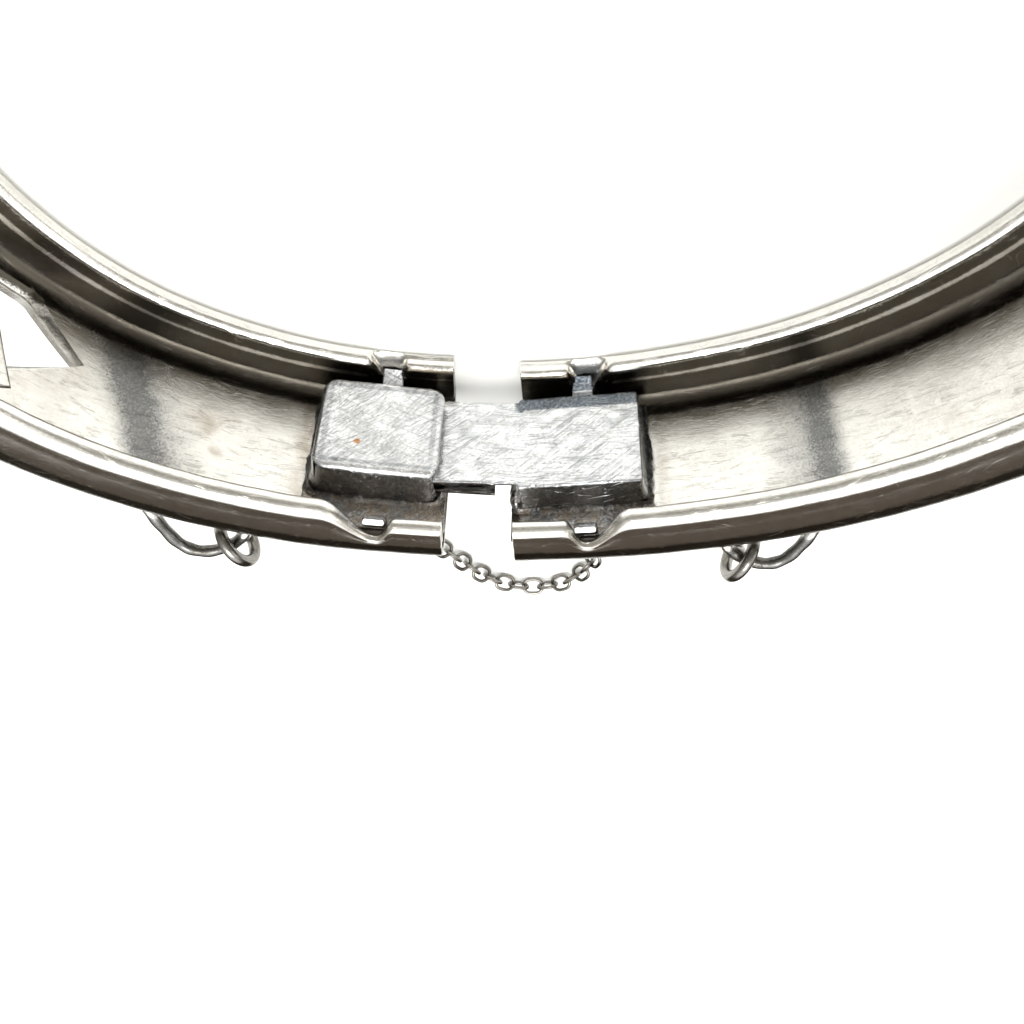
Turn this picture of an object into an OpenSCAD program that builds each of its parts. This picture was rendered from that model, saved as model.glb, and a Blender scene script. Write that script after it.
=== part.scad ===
// Hinged bangle with a box clasp and a safety chain, in millimetres.
// It lies on its side: the band's lower rim is on the floor, z = 0, and the ring's axis is Z.
// The clasp is on the -Y side and stands a little open, the hinge is on the +Y side.

/* [Band] */
// Width of the band from rim to rim
band_w = 13.8; // [12.6:0.2:16]
// Radius of the flat front and back curve, at the inside of the sheet
front_r = 51; // [46:1:60]
// Radius of the shoulders between the flat curve and the sides
shoulder_r = 33.4; // [31:0.2:37]
// Radius of the two sides
side_r = 22.3; // [21:0.1:24]
// Angle of the flat curve on each side of the front middle
front_a = 13; // [12.6:0.2:14.6]
// Angle of each shoulder
shoulder_a = 24.5; // [22.9:0.2:25.1]
// Thickness of the sheet
sheet_t = 0.5; // [0.4:0.02:0.52]
// Extra thickness of the domed outside at its middle
dome = 0.3; // [0.1:0.05:0.6]
// Depth of the rims, from the inside of the sheet towards the wrist
rim_h = 4.7; // [4.4:0.05:5.4]
// Width of each rolled rim
rim_w = 1.35; // [1.3:0.05:1.6]
// Space under the turned-in lip of each rim
lip_gap = 1.3; // [0.9:0.05:1.8]
// Corner radius on the outside edge
edge_r = 1.7; // [1.2:0.1:2]

/* [Opening] */
// Distance of the clasp to the left of the front middle
clasp_off = 5.2; // [4.6:0.1:6]
// Angle each half is swung open about the hinge
swing = 2.6; // [2.2:0.1:3.2]
// Space between the halves when shut
end_gap = 0.4; // [0.3:0.05:0.6]

/* [Clasp] */
// Length of the two boxes
box_l = 8.2; // [7.6:0.1:8.4]
// Width of the two boxes
box_w = 7.4; // [6.6:0.1:7.6]
// Height of the catch box above the inside of the band
catch_h = 3.7; // [3.6:0.05:4.2]
// Height of the tongue box above the inside of the band
tongue_h = 3.1; // [2.8:0.05:3.4]
// Wall of the boxes
box_t = 0.2; // [0.2:0.05:0.3]
// Thickness of the base plates
plate_t = 0.35; // [0.3:0.05:0.45]
// Thickness of the tongue strip and its spring leaf
strip_t = 0.3; // [0.2:0.05:0.35]
// Space between the tongue and the side walls of the catch box
tongue_clear = 0.13; // [0.1:0.01:0.25]
// Distance the tongue reaches into the catch box
tongue_in = 3.4; // [2.4:0.1:4.2]
// Bend of the tongue where it leaves its box
tongue_bend = 9; // [7:0.5:11]
// Width of the holding tabs
tab_w = 1.45; // [1:0.05:1.8]

/* [Ornament] */
// Length of the pierced window
window_l = 16.8; // [14:0.2:18]
// Width of the pierced window
window_w = 7; // [6.4:0.1:7.4]
// Length of the solid middle of the window
boss_l = 7.6; // [6.6:0.2:8.4]
// Width of the bars that hold the solid middle
strut_w = 1.2; // [1:0.1:1.6]
// Height of the raised leaves
relief = 0.6; // [0.3:0.05:0.9]

/* [Hinge] */
// Diameter of the hinge pin
pin_d = 0.9; // [0.7:0.05:1]
// Diameter of the hinge barrels
barrel_d = 2; // [1.8:0.1:2.2]
// Space between moving hinge surfaces
hinge_clear = 0.12; // [0.1:0.01:0.16]

/* [Safety chain] */
// Wire of the two soldered loops
loop_wire = 0.8; // [0.6:0.05:0.9]
// Reach of the left loop
left_loop_r = 3.2; // [3.1:0.1:3.6]
// Reach of the right loop
right_loop_r = 2.9; // [2.8:0.1:3.4]
// Outside diameter of the jump rings
ring_d = 4; // [3.8:0.1:4.4]
// Wire of the jump rings
ring_wire = 0.8; // [0.6:0.05:0.8]
// Length of a chain link
link_l = 2.44; // [2.34:0.02:2.6]
// Width of a chain link
link_w = 1.86; // [1.82:0.02:2]
// Wire of a chain link
link_wire = 0.38; // [0.3:0.02:0.38]

/* [Hidden] */
$fn = 48;
e = 0.01;
half_w = band_w / 2;
turn_a = front_a + shoulder_a;
half_depth = front_r - (front_r - shoulder_r) * cos(front_a) - (shoulder_r - side_r) * cos(turn_a);
front_c = [0, front_r - half_depth];
shoulder_c = [(front_r - shoulder_r) * sin(front_a), front_c[1] - (front_r - shoulder_r) * cos(front_a)];
side_c = [shoulder_c[0] + (shoulder_r - side_r) * sin(turn_a), 0];
front_l = front_r * front_a * PI / 180;
shoulder_l = shoulder_r * shoulder_a * PI / 180;
clasp_a = clasp_off / front_r * 180 / PI;
end_a = end_gap / 2 / front_r * 180 / PI;

// Heading of the band, in degrees, at a distance u along it from the front middle
function head(u) =
    abs(u) < front_l ? u / front_r * 180 / PI :
    abs(u) < front_l + shoulder_l ? sign(u) * (front_a + (abs(u) - front_l) / shoulder_r * 180 / PI) :
    sign(u) * (turn_a + (abs(u) - front_l - shoulder_l) / side_r * 180 / PI);
function centre_at(u) =
    abs(u) < front_l ? front_c :
    abs(u) < front_l + shoulder_l ? [sign(u) * shoulder_c[0], shoulder_c[1]] :
    [sign(u) * side_c[0], 0];
function radius_at(u) =
    abs(u) < front_l ? front_r : abs(u) < front_l + shoulder_l ? shoulder_r : side_r;
function place(u) = centre_at(u) + radius_at(u) * [sin(head(u)), -cos(head(u))];
function left_u(s) = -clasp_off - end_gap / 2 - s;
function right_u(s) = -clasp_off + end_gap / 2 + s;

// The hinge's axis is just outside the inner face of the sheet, opposite the clasp
pin_out = 0.2;
pin_p = -place(-clasp_off) + pin_out * [sin(clasp_a), cos(clasp_a)];

module left_open() {
    translate([pin_p[0], pin_p[1], 0]) rotate([0, 0, -swing]) translate([-pin_p[0], -pin_p[1], 0]) children();
}
module right_open() {
    translate([pin_p[0], pin_p[1], 0]) rotate([0, 0, swing]) translate([-pin_p[0], -pin_p[1], 0]) children();
}
// Local frame on the band: X along it to the right, Y towards the wrist, Z up from mid width
module on_band(u) {
    translate([place(u)[0], place(u)[1], half_w]) rotate([0, 0, head(u)]) children();
}

// Section of the sheet in [distance inwards, distance from mid width], one side of it
function arc_pts(c, r, a0, a1, n) =
    [for (i = [0:n]) let (a = a0 + (a1 - a0) * i / n) c + r * [cos(a), sin(a)]];
rim_r = 0.54 * rim_w;
lip_r = 0.43 * rim_w;
flat_z = half_w - edge_r;
dome_r = (flat_z * flat_z + dome * dome) / (2 * dome);
function dome_sag(z) = dome_r - sqrt(dome_r * dome_r - z * z);
lip_z = half_w - rim_w;
lip_lean = 0.12;
function outer_side(in) = concat(
    [for (i = [0:3]) let (z = flat_z * i / 4) [in - sheet_t - dome + dome_sag(z), z]],
    arc_pts([edge_r - sheet_t, flat_z], edge_r - in, 180, 90, 5),
    arc_pts([rim_h - rim_r, half_w - rim_r], rim_r - in, 90, 0, 4),
    arc_pts([rim_h - lip_r, lip_z + lip_r], lip_r - in, 0, -90, 4),
    [[lip_gap + in, lip_z + lip_lean + in]]);
function inner_side(in) = concat(
    [[lip_gap + in, lip_z + lip_lean + sheet_t - in]],
    arc_pts([rim_h - lip_r, lip_z + lip_r], lip_r - sheet_t + in, -90, 0, 2),
    arc_pts([rim_h - rim_r, half_w - rim_r], rim_r - sheet_t + in, 0, 90, 3),
    arc_pts([edge_r - sheet_t, flat_z], edge_r - sheet_t + in, 90, 180, 4));
function flip(v) = [for (i = [len(v) - 1:-1:0]) [v[i][0], -v[i][1]]];
// The whole section, drawn in by a distance, or let out by a negative one
function section(in) = concat(outer_side(in), inner_side(in), flip(inner_side(in)),
    [for (p = flip(outer_side(in))) if (p[1] < 0) p]);
// Section of the layer that the raised leaves are cut from, drawn in or let out the same way
skin_in = 0.2;
function skin(in) = concat(
    [for (i = [-4:4]) let (z = (flat_z - in) * i / 4) [in - sheet_t - dome - relief + dome_sag(z), z]],
    [[-skin_in - in, flat_z - in], [-skin_in - in, in - flat_z]]);

module sweep_arc(pts, c, r, a0, a1) {
    translate([c[0], c[1], half_w])
        rotate_extrude(angle = a1 - a0, start = a0, $fn = 180)
            polygon([for (p = pts) [r - p[0], p[1]]]);
}
// One half of the band, shut, from the clasp round the left side to the hinge
module half_arcs() {
    sweep_arc(section(0), front_c, front_r, 270 - front_a, 270 - clasp_a - end_a);
    sweep_arc(section(0), shoulder_1, shoulder_r, 270 - turn_a, 270 - front_a);
    sweep_arc(section(0), -side_c, side_r, 90 + turn_a, 270 - turn_a);
    sweep_arc(section(0), shoulder_2, shoulder_r, 90 + front_a, 90 + turn_a);
    sweep_arc(section(0), -front_c, front_r, 90 - clasp_a + end_a, 90 + front_a);
}
// Solder seams, a hair thicker than the sheet, close the joints between the arcs
seam_t = 0.02;
seam_a = 0.8;
shoulder_1 = [-shoulder_c[0], shoulder_c[1]];
shoulder_2 = -shoulder_c;
module seam(c, a) {
    sweep_arc(section(-seam_t), c, shoulder_r, a - seam_a, a + seam_a);
}
module half_band() {
    half_arcs();
    intersection() {
        union() {
            seam(shoulder_1, 270 - front_a);
            seam(shoulder_1, 270 - turn_a);
            seam(shoulder_2, 90 + turn_a);
            seam(shoulder_2, 90 + front_a);
        }
        translate([-2 * front_r, -2 * front_r, 0]) cube([4 * front_r, 4 * front_r, band_w]);
    }
}
module left_skin() {
    sweep_arc(skin(0), shoulder_1, shoulder_r, 270 - turn_a, 270 - front_a);
    sweep_arc(skin(0), -side_c, side_r, 90 + turn_a, 270 - turn_a);
    sweep_arc(skin(-seam_t), shoulder_1, shoulder_r, 270 - turn_a - seam_a, 270 - turn_a + seam_a);
}

// Crimped dents that hold a base plate's tabs
dent_s = 4.5;
dent_r = 4.6;
dent_a = 4.3 / front_r * 180 / PI;
module dent_fill(u) {
    for (side = [-1, 1])
        translate([front_c[0], front_c[1], half_w])
            rotate_extrude(angle = 2 * dent_a, start = 270 + head(u) - dent_a, $fn = 180)
                translate([front_r - rim_h + 0.25, side > 0 ? lip_z + 0.2 : -half_w + 0.25])
                    square([rim_h + 0.1, rim_w - 0.45]);
}
module dent_cut(u) {
    for (side = [-1, 1])
        on_band(u) translate([0, rim_h + 0.45, side * (half_w - dent_r + 0.4)]) sphere(dent_r, $fn = 64);
}

// Ornament: outlines of the raised leaves and of the six-sided window
function leaf_pts(l, w, n) =
    let (r = (l * l + w * w) / (4 * w), a = asin(l / 2 / r))
    concat([for (i = [0:n]) [r * sin(-a + 2 * a * i / n), r * cos(-a + 2 * a * i / n) - r + w / 2]],
           [for (i = [1:n - 1]) [r * sin(a - 2 * a * i / n), -r * cos(a - 2 * a * i / n) + r - w / 2]]);
window_s = 24.2 + window_l / 2;
window_z = -2;
corner_in = 4.1;
function six_pts(l, w, c) =
    [[l / 2, 0], [l / 2 - c, w / 2], [c - l / 2, w / 2],
     [-l / 2, 0], [c - l / 2, -w / 2], [l / 2 - c, -w / 2]];
module prism_at(s, z, turn, depth) {
    on_band(left_u(s)) translate([0, 0, z]) rotate([90, turn, 0])
        translate([0, 0, -depth]) linear_extrude(2 * depth) children();
}
// The window leaves a six-sided middle, held by two slanting bars
boss_in = 0.8;
boss_w = 2.9;
strut_a = 62;
module window_shape() {
    difference() {
        polygon(six_pts(window_l, window_w, corner_in));
        translate([-boss_in, 0]) polygon(six_pts(boss_l, boss_w, 1.7));
        for (k = [0, 180]) translate([-boss_in, 0]) rotate(k) translate([boss_l / 2 - 0.5, 0]) rotate(strut_a)
            translate([0, -strut_w / 2]) square([6, strut_w]);
    }
}
module window_cut() {
    intersection() {
        prism_at(window_s, window_z, 0, 6) window_shape();
        on_band(left_u(window_s)) cube([40, 14, 2 * lip_z - 0.3], center = true);
    }
}
// Raised leaves: distance from the clasp end, height, length, width, turn
leaf_spots = [[20, 4.0, 7.4, 3.2, 28], [19.8, -3.6, 6.6, 3, -30], [28.4, 3.9, 7, 2.4, -10],
              [45.7, 3.6, 7.4, 3.2, -28], [45.9, -3.8, 6.6, 3, 30], [37, 3.9, 6.6, 2.4, 10],
              [51.2, 0, 6.4, 3, 0], [15.4, 0.2, 5.6, 2.8, 0]];
module relief_work() {
    intersection() {
        left_skin();
        union() {
            for (q = leaf_spots) prism_at(q[0], q[1], q[4], 4) polygon(leaf_pts(q[2], q[3], 8));
            prism_at(window_s, window_z, 0, 7)
                polygon(six_pts(window_l + 2.8, window_w + 2, corner_in + 0.3));
        }
    }
}

// Wire loops for the safety chain, leaning a little upwards
loop_z = half_w - 1.35;
loop_lean = 20;
loop_in = -0.12;
left_loop_s = 15.6;
right_loop_s = 15.9;
module wire_loop(u, r) {
    on_band(u) translate([0, loop_in, loop_z]) rotate([-loop_lean, 0, 0])
        rotate_extrude(angle = 180, start = 180, $fn = 64) translate([r, 0]) circle(loop_wire / 2, $fn = 20);
}

// Hinge: barrels 1 and 3 belong to the left half, barrel 2 to the right half
barrel_z = [1.5, 5.05, band_w - 5.05, band_w - 1.5];
head_t = 0.4;
head_d = pin_d + 0.5;
module barrel(z0, z1, d) {
    translate([pin_p[0], pin_p[1], z0]) cylinder(d = d, h = z1 - z0, $fn = 48);
}
module pin_hole() {
    barrel(-1, band_w + 1, pin_d + 2 * hinge_clear);
}
slot_d = barrel_d + 2 * hinge_clear + 0.1;

module left_half() {
    color([0.78, 0.77, 0.74]) left_open() difference() {
        union() {
            difference() {
                union() {
                    half_band();
                    relief_work();
                    dent_fill(left_u(dent_s));
                }
                barrel(barrel_z[1] - hinge_clear, barrel_z[2] + hinge_clear, slot_d);
                barrel(-1, barrel_z[0], head_d + 2 * hinge_clear);
                barrel(barrel_z[3], band_w + 1, head_d + 2 * hinge_clear);
                window_cut();
                dent_cut(left_u(dent_s));
            }
            barrel(barrel_z[0], barrel_z[1], barrel_d);
            barrel(barrel_z[2], barrel_z[3], barrel_d);
            wire_loop(left_u(left_loop_s), left_loop_r);
        }
        pin_hole();
    }
}

module right_half() {
    color([0.76, 0.75, 0.72]) right_open() difference() {
        union() {
            difference() {
                union() {
                    rotate([0, 0, 180]) half_band();
                    dent_fill(right_u(dent_s));
                }
                barrel(-1, barrel_z[1] + hinge_clear, slot_d);
                barrel(barrel_z[2] - hinge_clear, band_w + 1, slot_d);
                dent_cut(right_u(dent_s));
            }
            barrel(barrel_z[1] + hinge_clear, barrel_z[2] - hinge_clear, barrel_d);
            wire_loop(right_u(right_loop_s), right_loop_r);
        }
        pin_hole();
    }
}

// Base plate with two bent tabs; x is measured from the box's middle, y from the inside of the band
plate_y = 0.44;
plate_top = plate_y + plate_t;
plate_l = box_l + 1.2;
plate_w = 2 * (lip_z - 0.35);
tab_h = 3.4;
tab_reach = half_w - 0.6;
box_in = 0.35;
module base_plate(tab_x) {
    translate([-plate_l / 2, plate_y, -plate_w / 2]) cube([plate_l, plate_t, plate_w]);
    for (side = [0, 1]) mirror([0, 0, side])
        translate([tab_x - tab_w / 2, 0, 0]) rotate([90, 0, 90]) linear_extrude(tab_w)
            polygon([[plate_y, plate_w / 2 - plate_t], [plate_y, plate_w / 2],
                     [1.9, plate_w / 2], [tab_h - 0.2, tab_reach], [tab_h, tab_reach - plate_t],
                     [2, plate_w / 2 - plate_t]]);
}
function round_rect(l, w, r) = concat(
    arc_pts([l / 2 - r, w / 2 - r], r, 0, 90, 5), arc_pts([-l / 2 + r, w / 2 - r], r, 90, 180, 5),
    arc_pts([-l / 2 + r, -w / 2 + r], r, 180, 270, 5), arc_pts([l / 2 - r, -w / 2 + r], r, 270, 360, 5));
box_z = -1;
box_r = 0.7;
module box_block(l, w, r, y0, y1) {
    translate([0, y0, 0]) rotate([-90, 0, 0]) linear_extrude(y1 - y0) polygon(round_rect(l, w, r));
}

// The catch box takes the tongue; its mouth faces the gap on its +X side
mouth_w = box_w - 2 * box_t;
module catch_box() {
    color([0.84, 0.84, 0.83]) left_open() on_band(left_u(dent_s + box_in)) difference() {
        union() {
            base_plate(box_in);
            translate([0, 0, box_z]) box_block(box_l, box_w, box_r, plate_top - e, catch_h);
        }
        translate([box_t - box_l / 2, plate_top, box_z - mouth_w / 2])
            cube([box_l, catch_h - plate_top - box_t, mouth_w]);
    }
}

// The tongue box carries the tongue strip, which is folded back under itself as a spring
tongue_w = mouth_w - 2 * tongue_clear;
mouth_x = -box_l / 2;
vent_d = 1.2;
gap_l = 2 * swing * PI / 180 * 2 * norm(place(-clasp_off)) + end_gap;
tongue_l = gap_l + 1.6 + tongue_in;
fold_r = 0.62;
module tongue_strip() {
    translate([mouth_x, tongue_h, box_z]) rotate([0, 0, -tongue_bend])
        translate([0, 0, -tongue_w / 2]) linear_extrude(tongue_w) union() {
            polygon([[0.4, 0], [-tongue_l, 0], [-tongue_l, -strip_t], [0.4, -strip_t]]);
            polygon(concat(arc_pts([-tongue_l, -fold_r], fold_r, 90, 270, 10),
                           arc_pts([-tongue_l, -fold_r], fold_r - strip_t, 270, 90, 8)));
            polygon([[-tongue_l, -2 * fold_r], [-1.35, -2 * fold_r - 0.25],
                     [-1.35, -2 * fold_r - 0.25 + strip_t], [-tongue_l, -2 * fold_r + strip_t]]);
        }
}
module tongue_box() {
    color([0.81, 0.81, 0.80]) right_open() on_band(right_u(dent_s - box_in)) union() {
        difference() {
            union() {
                base_plate(box_in);
                translate([0, 0, box_z]) box_block(box_l, box_w, box_t, plate_top - e, tongue_h);
            }
            translate([0, 0, box_z])
                box_block(box_l - 2 * box_t, mouth_w, box_t / 2, plate_top, tongue_h - strip_t);
            // Vent of the hollow box
            translate([1, 0, box_z]) rotate([-90, 0, 0]) cylinder(d = vent_d, h = plate_top + e);
        }
        tongue_strip();
    }
}

module hinge_pin() {
    color([0.62, 0.61, 0.58]) {
        barrel(barrel_z[0] - hinge_clear - head_t, barrel_z[3] + hinge_clear + head_t, pin_d);
        barrel(barrel_z[0] - hinge_clear - head_t, barrel_z[0] - hinge_clear, head_d);
        barrel(barrel_z[3] + hinge_clear, barrel_z[3] + hinge_clear + head_t, head_d);
    }
}

// Where a jump ring hangs: the place on a wire loop, the way it is pulled, the wire's direction there
ring_seat = 0.12;
pull_a = 68;
function turn2(p, a) = [p[0] * cos(a) - p[1] * sin(a), p[0] * sin(a) + p[1] * cos(a)];
function world_dir(v, a) = let (q = turn2([v[0], v[1]], a)) [q[0], q[1], v[2]];
function loop_pt(u, r, slide, a) =
    let (x = r * sin(slide), y = loop_in - r * cos(slide) * cos(loop_lean),
         p = pin_p + turn2(place(u) + turn2([x, y], head(u)) - pin_p, a))
    [p[0], p[1], half_w + loop_z + r * cos(slide) * sin(loop_lean)];
function pull_dir(u, slide, a) = world_dir(
    cos(pull_a) * [sin(slide), -cos(slide) * cos(loop_lean), cos(slide) * sin(loop_lean)]
    + sin(pull_a) * [0, -sin(loop_lean), -cos(loop_lean)], head(u) + a);
function wire_dir(u, slide, a) =
    world_dir([cos(slide), sin(slide) * cos(loop_lean), -sin(slide) * sin(loop_lean)], head(u) + a);
left_slide = 54;
right_slide = -44;
ring_off = ring_d / 2 - ring_wire - loop_wire / 2 - ring_seat;
first_off = ring_off + ring_d / 2 + link_l / 2 - link_wire - ring_wire - ring_seat;

module jump_ring(u, r, slide, open_at) {
    on_band(u) translate([r * sin(slide), loop_in - r * cos(slide) * cos(loop_lean),
                          loop_z + r * cos(slide) * sin(loop_lean)])
        rotate([-loop_lean, 0, 0]) rotate([0, 0, slide])
            translate([0, -ring_off * cos(pull_a), -ring_off * sin(pull_a)]) rotate([0, 90, 0])
                rotate_extrude(angle = 356, start = open_at, $fn = 72)
                    translate([ring_d / 2 - ring_wire / 2, 0]) circle(ring_wire / 2, $fn = 20);
}
module left_ring() {
    color([0.58, 0.57, 0.54]) left_open() jump_ring(left_u(left_loop_s), left_loop_r, left_slide, 80);
}
module right_ring() {
    color([0.58, 0.57, 0.54]) right_open() jump_ring(right_u(right_loop_s), right_loop_r, right_slide, 100);
}

// Route of the safety chain, from the left ring down to the floor and back up to the right ring
route_pts = [[-20.9, -27.7, 7], [-19.8, -31.5, 3.9], [-18.2, -35.5, 1.8], [-16, -39.7, 0.9],
             [-13.6, -43.9, 0.75], [-11.4, -47.9, 0.75], [-9.4, -51.3, 0.75], [-6.4, -53.7, 0.75],
             [-2.6, -53.7, 0.75], [0.2, -51.3, 0.75], [2, -47.5, 0.75], [4, -43.3, 0.8],
             [6.4, -39.2, 1.3], [8.8, -35.3, 3], [10.8, -31.3, 6.4]];
left_pull = pull_dir(left_u(left_loop_s), left_slide, -swing);
right_pull = pull_dir(right_u(right_loop_s), right_slide, swing);
chain_start = loop_pt(left_u(left_loop_s), left_loop_r, left_slide, -swing) + first_off * left_pull;
chain_end = loop_pt(right_u(right_loop_s), right_loop_r, right_slide, swing) + first_off * right_pull;
knots = concat([chain_start - 3 * left_pull, chain_start], route_pts,
               [chain_end, chain_end - 3 * right_pull]);
steps = 12;
function spline(p0, p1, p2, p3, t) =
    0.5 * (2 * p1 + (p2 - p0) * t + (2 * p0 - 5 * p1 + 4 * p2 - p3) * t * t
           + (3 * p1 - p0 - 3 * p2 + p3) * t * t * t);
fine = concat([for (i = [1:len(knots) - 3], j = [0:steps - 1])
    spline(knots[i - 1], knots[i], knots[i + 1], knots[i + 2], j / steps)], [chain_end]);
function step_l(i) = i + 1 < len(fine) ? norm(fine[i + 1] - fine[i]) : 0;
dist = [for (i = 0, s = 0; i < len(fine); s = s + step_l(i), i = i + 1) s];
route_l = dist[len(dist) - 1];
route_tables = [for (k = [0:2]) [for (i = [0:len(fine) - 1]) [dist[i], fine[i][k]]]];
function route_at(s) = [for (k = [0:2]) lookup(s, route_tables[k])];
function unit(v) = v / norm(v);

// Links: alternate ones are turned by a quarter, and lie askew on the floor
link_clear = 0.15;
link_pitch = link_l - 2 * link_wire - link_clear;
link_n = ceil(route_l / link_pitch) + 1;
pitch = route_l / (link_n - 1);
twist_l = 13;
end_n = 5;
wire_n = 5;
function route_dir(s) =
    s < 0.4 ? left_pull : s > route_l - 0.4 ? -right_pull : unit(route_at(s + 0.4) - route_at(s - 0.4));
function side_of(t) = unit(cross(t, [0, 0, 1]));
function roll_of(w, t) =
    let (s = side_of(t), a = atan2(w * cross(s, t), w * s)) a - 180 * round((a - 45) / 180);
left_roll = roll_of(wire_dir(left_u(left_loop_s), left_slide, -swing), left_pull);
right_roll = roll_of(wire_dir(right_u(right_loop_s), right_slide, swing), -right_pull);
odd_turn = (link_n - 1) % 2 == 0 ? 0 : 90;
right_base = right_roll - odd_turn < -45 ? right_roll - odd_turn + 180 : right_roll - odd_turn;
function base_roll(s) =
    s < twist_l ? 45 + (left_roll - 45) * (1 - s / twist_l) :
    s > route_l - twist_l ? 45 + (right_base - 45) * (1 - (route_l - s) / twist_l) : 45;
end_arc = (link_w - link_wire) / 2;
straight = (link_l - link_w) / 2;
// Centre line of a link as [x, y, direction outwards]
link_line = concat(
    [for (i = [0:end_n]) let (a = -90 + 180 * i / end_n) [straight + end_arc * cos(a), end_arc * sin(a), a]],
    [for (i = [0:end_n]) let (a = 90 + 180 * i / end_n) [-straight + end_arc * cos(a), end_arc * sin(a), a]]);
function link_verts(k) =
    let (s = k * pitch, c = route_at(s), t = route_dir(s), side = side_of(t), up = cross(side, t),
         roll = base_roll(s) + (k % 2) * 90,
         wide = cos(roll) * side + sin(roll) * up, thick = cos(roll) * up - sin(roll) * side)
    [for (q = link_line, j = [0:wire_n - 1])
        let (b = 360 * j / wire_n, o = cos(q[2]) * t + sin(q[2]) * wide)
        c + q[0] * t + q[1] * wide + link_wire / 2 * (cos(b) * o + sin(b) * thick)];
ring_n = len(link_line);
function link_faces(k) =
    let (base = k * ring_n * wire_n)
    [for (i = [0:ring_n - 1], j = [0:wire_n - 1], half = [0, 1])
        let (i2 = (i + 1) % ring_n, j2 = (j + 1) % wire_n,
             a = base + i * wire_n + j, b = base + i2 * wire_n + j,
             c = base + i2 * wire_n + j2, d = base + i * wire_n + j2)
        half == 0 ? [a, c, b] : [a, d, c]];
module chain() {
    color([0.60, 0.59, 0.57])
        polyhedron(points = [for (k = [0:link_n - 1]) each link_verts(k)],
                   faces = [for (k = [0:link_n - 1]) each link_faces(k)]);
}

left_half();
right_half();
catch_box();
tongue_box();
hinge_pin();
left_ring();
right_ring();
chain();
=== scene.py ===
import math
import bpy
import bmesh
import numpy as np
from mathutils import Matrix, Vector, noise


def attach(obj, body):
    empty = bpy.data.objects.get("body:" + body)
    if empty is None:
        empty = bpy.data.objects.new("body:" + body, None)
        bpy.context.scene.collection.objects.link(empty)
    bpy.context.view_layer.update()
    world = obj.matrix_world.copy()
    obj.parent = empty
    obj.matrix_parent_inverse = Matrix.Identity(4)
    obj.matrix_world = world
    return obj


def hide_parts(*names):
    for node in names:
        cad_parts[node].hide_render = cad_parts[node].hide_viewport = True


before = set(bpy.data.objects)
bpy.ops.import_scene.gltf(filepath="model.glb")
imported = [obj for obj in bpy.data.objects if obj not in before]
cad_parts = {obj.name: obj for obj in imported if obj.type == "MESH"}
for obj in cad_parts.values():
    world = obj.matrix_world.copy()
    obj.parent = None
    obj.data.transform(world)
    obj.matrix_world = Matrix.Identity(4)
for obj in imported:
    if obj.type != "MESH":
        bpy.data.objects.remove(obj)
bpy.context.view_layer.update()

# Hinged bangle lying on its side, clasp towards -Y, hinge towards +Y, seen from inside the ring.
# Lengths below are millimetres along the band (s), towards the wrist (h) and up from mid width (z).
mm = 0.001
print("frame loaded:", ", ".join(sorted(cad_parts)))

plan = {"frontR": 51.0, "shoulderR": 33.4, "sideR": 22.3, "frontTurn": math.radians(13.0),
        "shoulderTurn": math.radians(24.5), "claspOff": 5.2, "swing": math.radians(2.6),
        "endGap": 0.4, "halfWidth": 6.9, "pinOut": 0.2}
halfWidth = plan["halfWidth"]
turnAll = plan["frontTurn"] + plan["shoulderTurn"]
frontLength = plan["frontR"] * plan["frontTurn"]
shoulderLength = plan["shoulderR"] * plan["shoulderTurn"]
quarter = frontLength + shoulderLength + plan["sideR"] * (math.pi / 2 - turnAll)
halfLength = 2 * quarter - plan["endGap"]
halfDepth = (plan["frontR"] - (plan["frontR"] - plan["shoulderR"]) * math.cos(plan["frontTurn"])
             - (plan["shoulderR"] - plan["sideR"]) * math.cos(turnAll))
frontCentreY = plan["frontR"] - halfDepth
shoulderCentre = ((plan["frontR"] - plan["shoulderR"]) * math.sin(plan["frontTurn"]),
                  frontCentreY - (plan["frontR"] - plan["shoulderR"]) * math.cos(plan["frontTurn"]))
sideCentreX = shoulderCentre[0] + (plan["shoulderR"] - plan["sideR"]) * math.sin(turnAll)


def alongPlan(u):
    u = np.asarray(u, float)
    turns = np.round(u / (2 * quarter))
    v = u - 2 * quarter * turns
    side = np.where(v < 0, -1.0, 1.0)
    a = np.abs(v)
    onFront = a < frontLength
    onShoulder = a < frontLength + shoulderLength
    angle = np.where(onFront, a / plan["frontR"],
                     np.where(onShoulder, plan["frontTurn"] + (a - frontLength) / plan["shoulderR"],
                              turnAll + (a - frontLength - shoulderLength) / plan["sideR"]))
    radius = np.where(onFront, plan["frontR"], np.where(onShoulder, plan["shoulderR"], plan["sideR"]))
    cx = np.where(onFront, 0.0, np.where(onShoulder, shoulderCentre[0], sideCentreX))
    cy = np.where(onFront, frontCentreY, np.where(onShoulder, shoulderCentre[1], 0.0))
    flip = np.where(turns % 2 == 0, 1.0, -1.0)
    x = flip * side * (cx + radius * np.sin(angle))
    y = flip * (cy - radius * np.cos(angle))
    return x, y, side * angle + math.pi * turns


claspX, claspY = alongPlan(-plan["claspOff"])[:2]
pinX = float(-claspX + plan["pinOut"] * math.sin(plan["claspOff"] / plan["frontR"]))
pinY = float(-claspY + plan["pinOut"] * math.cos(plan["claspOff"] / plan["frontR"]))


def planU(side, s):
    start = -plan["claspOff"] + side * plan["endGap"] / 2
    return start + side * np.asarray(s, float)


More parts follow.
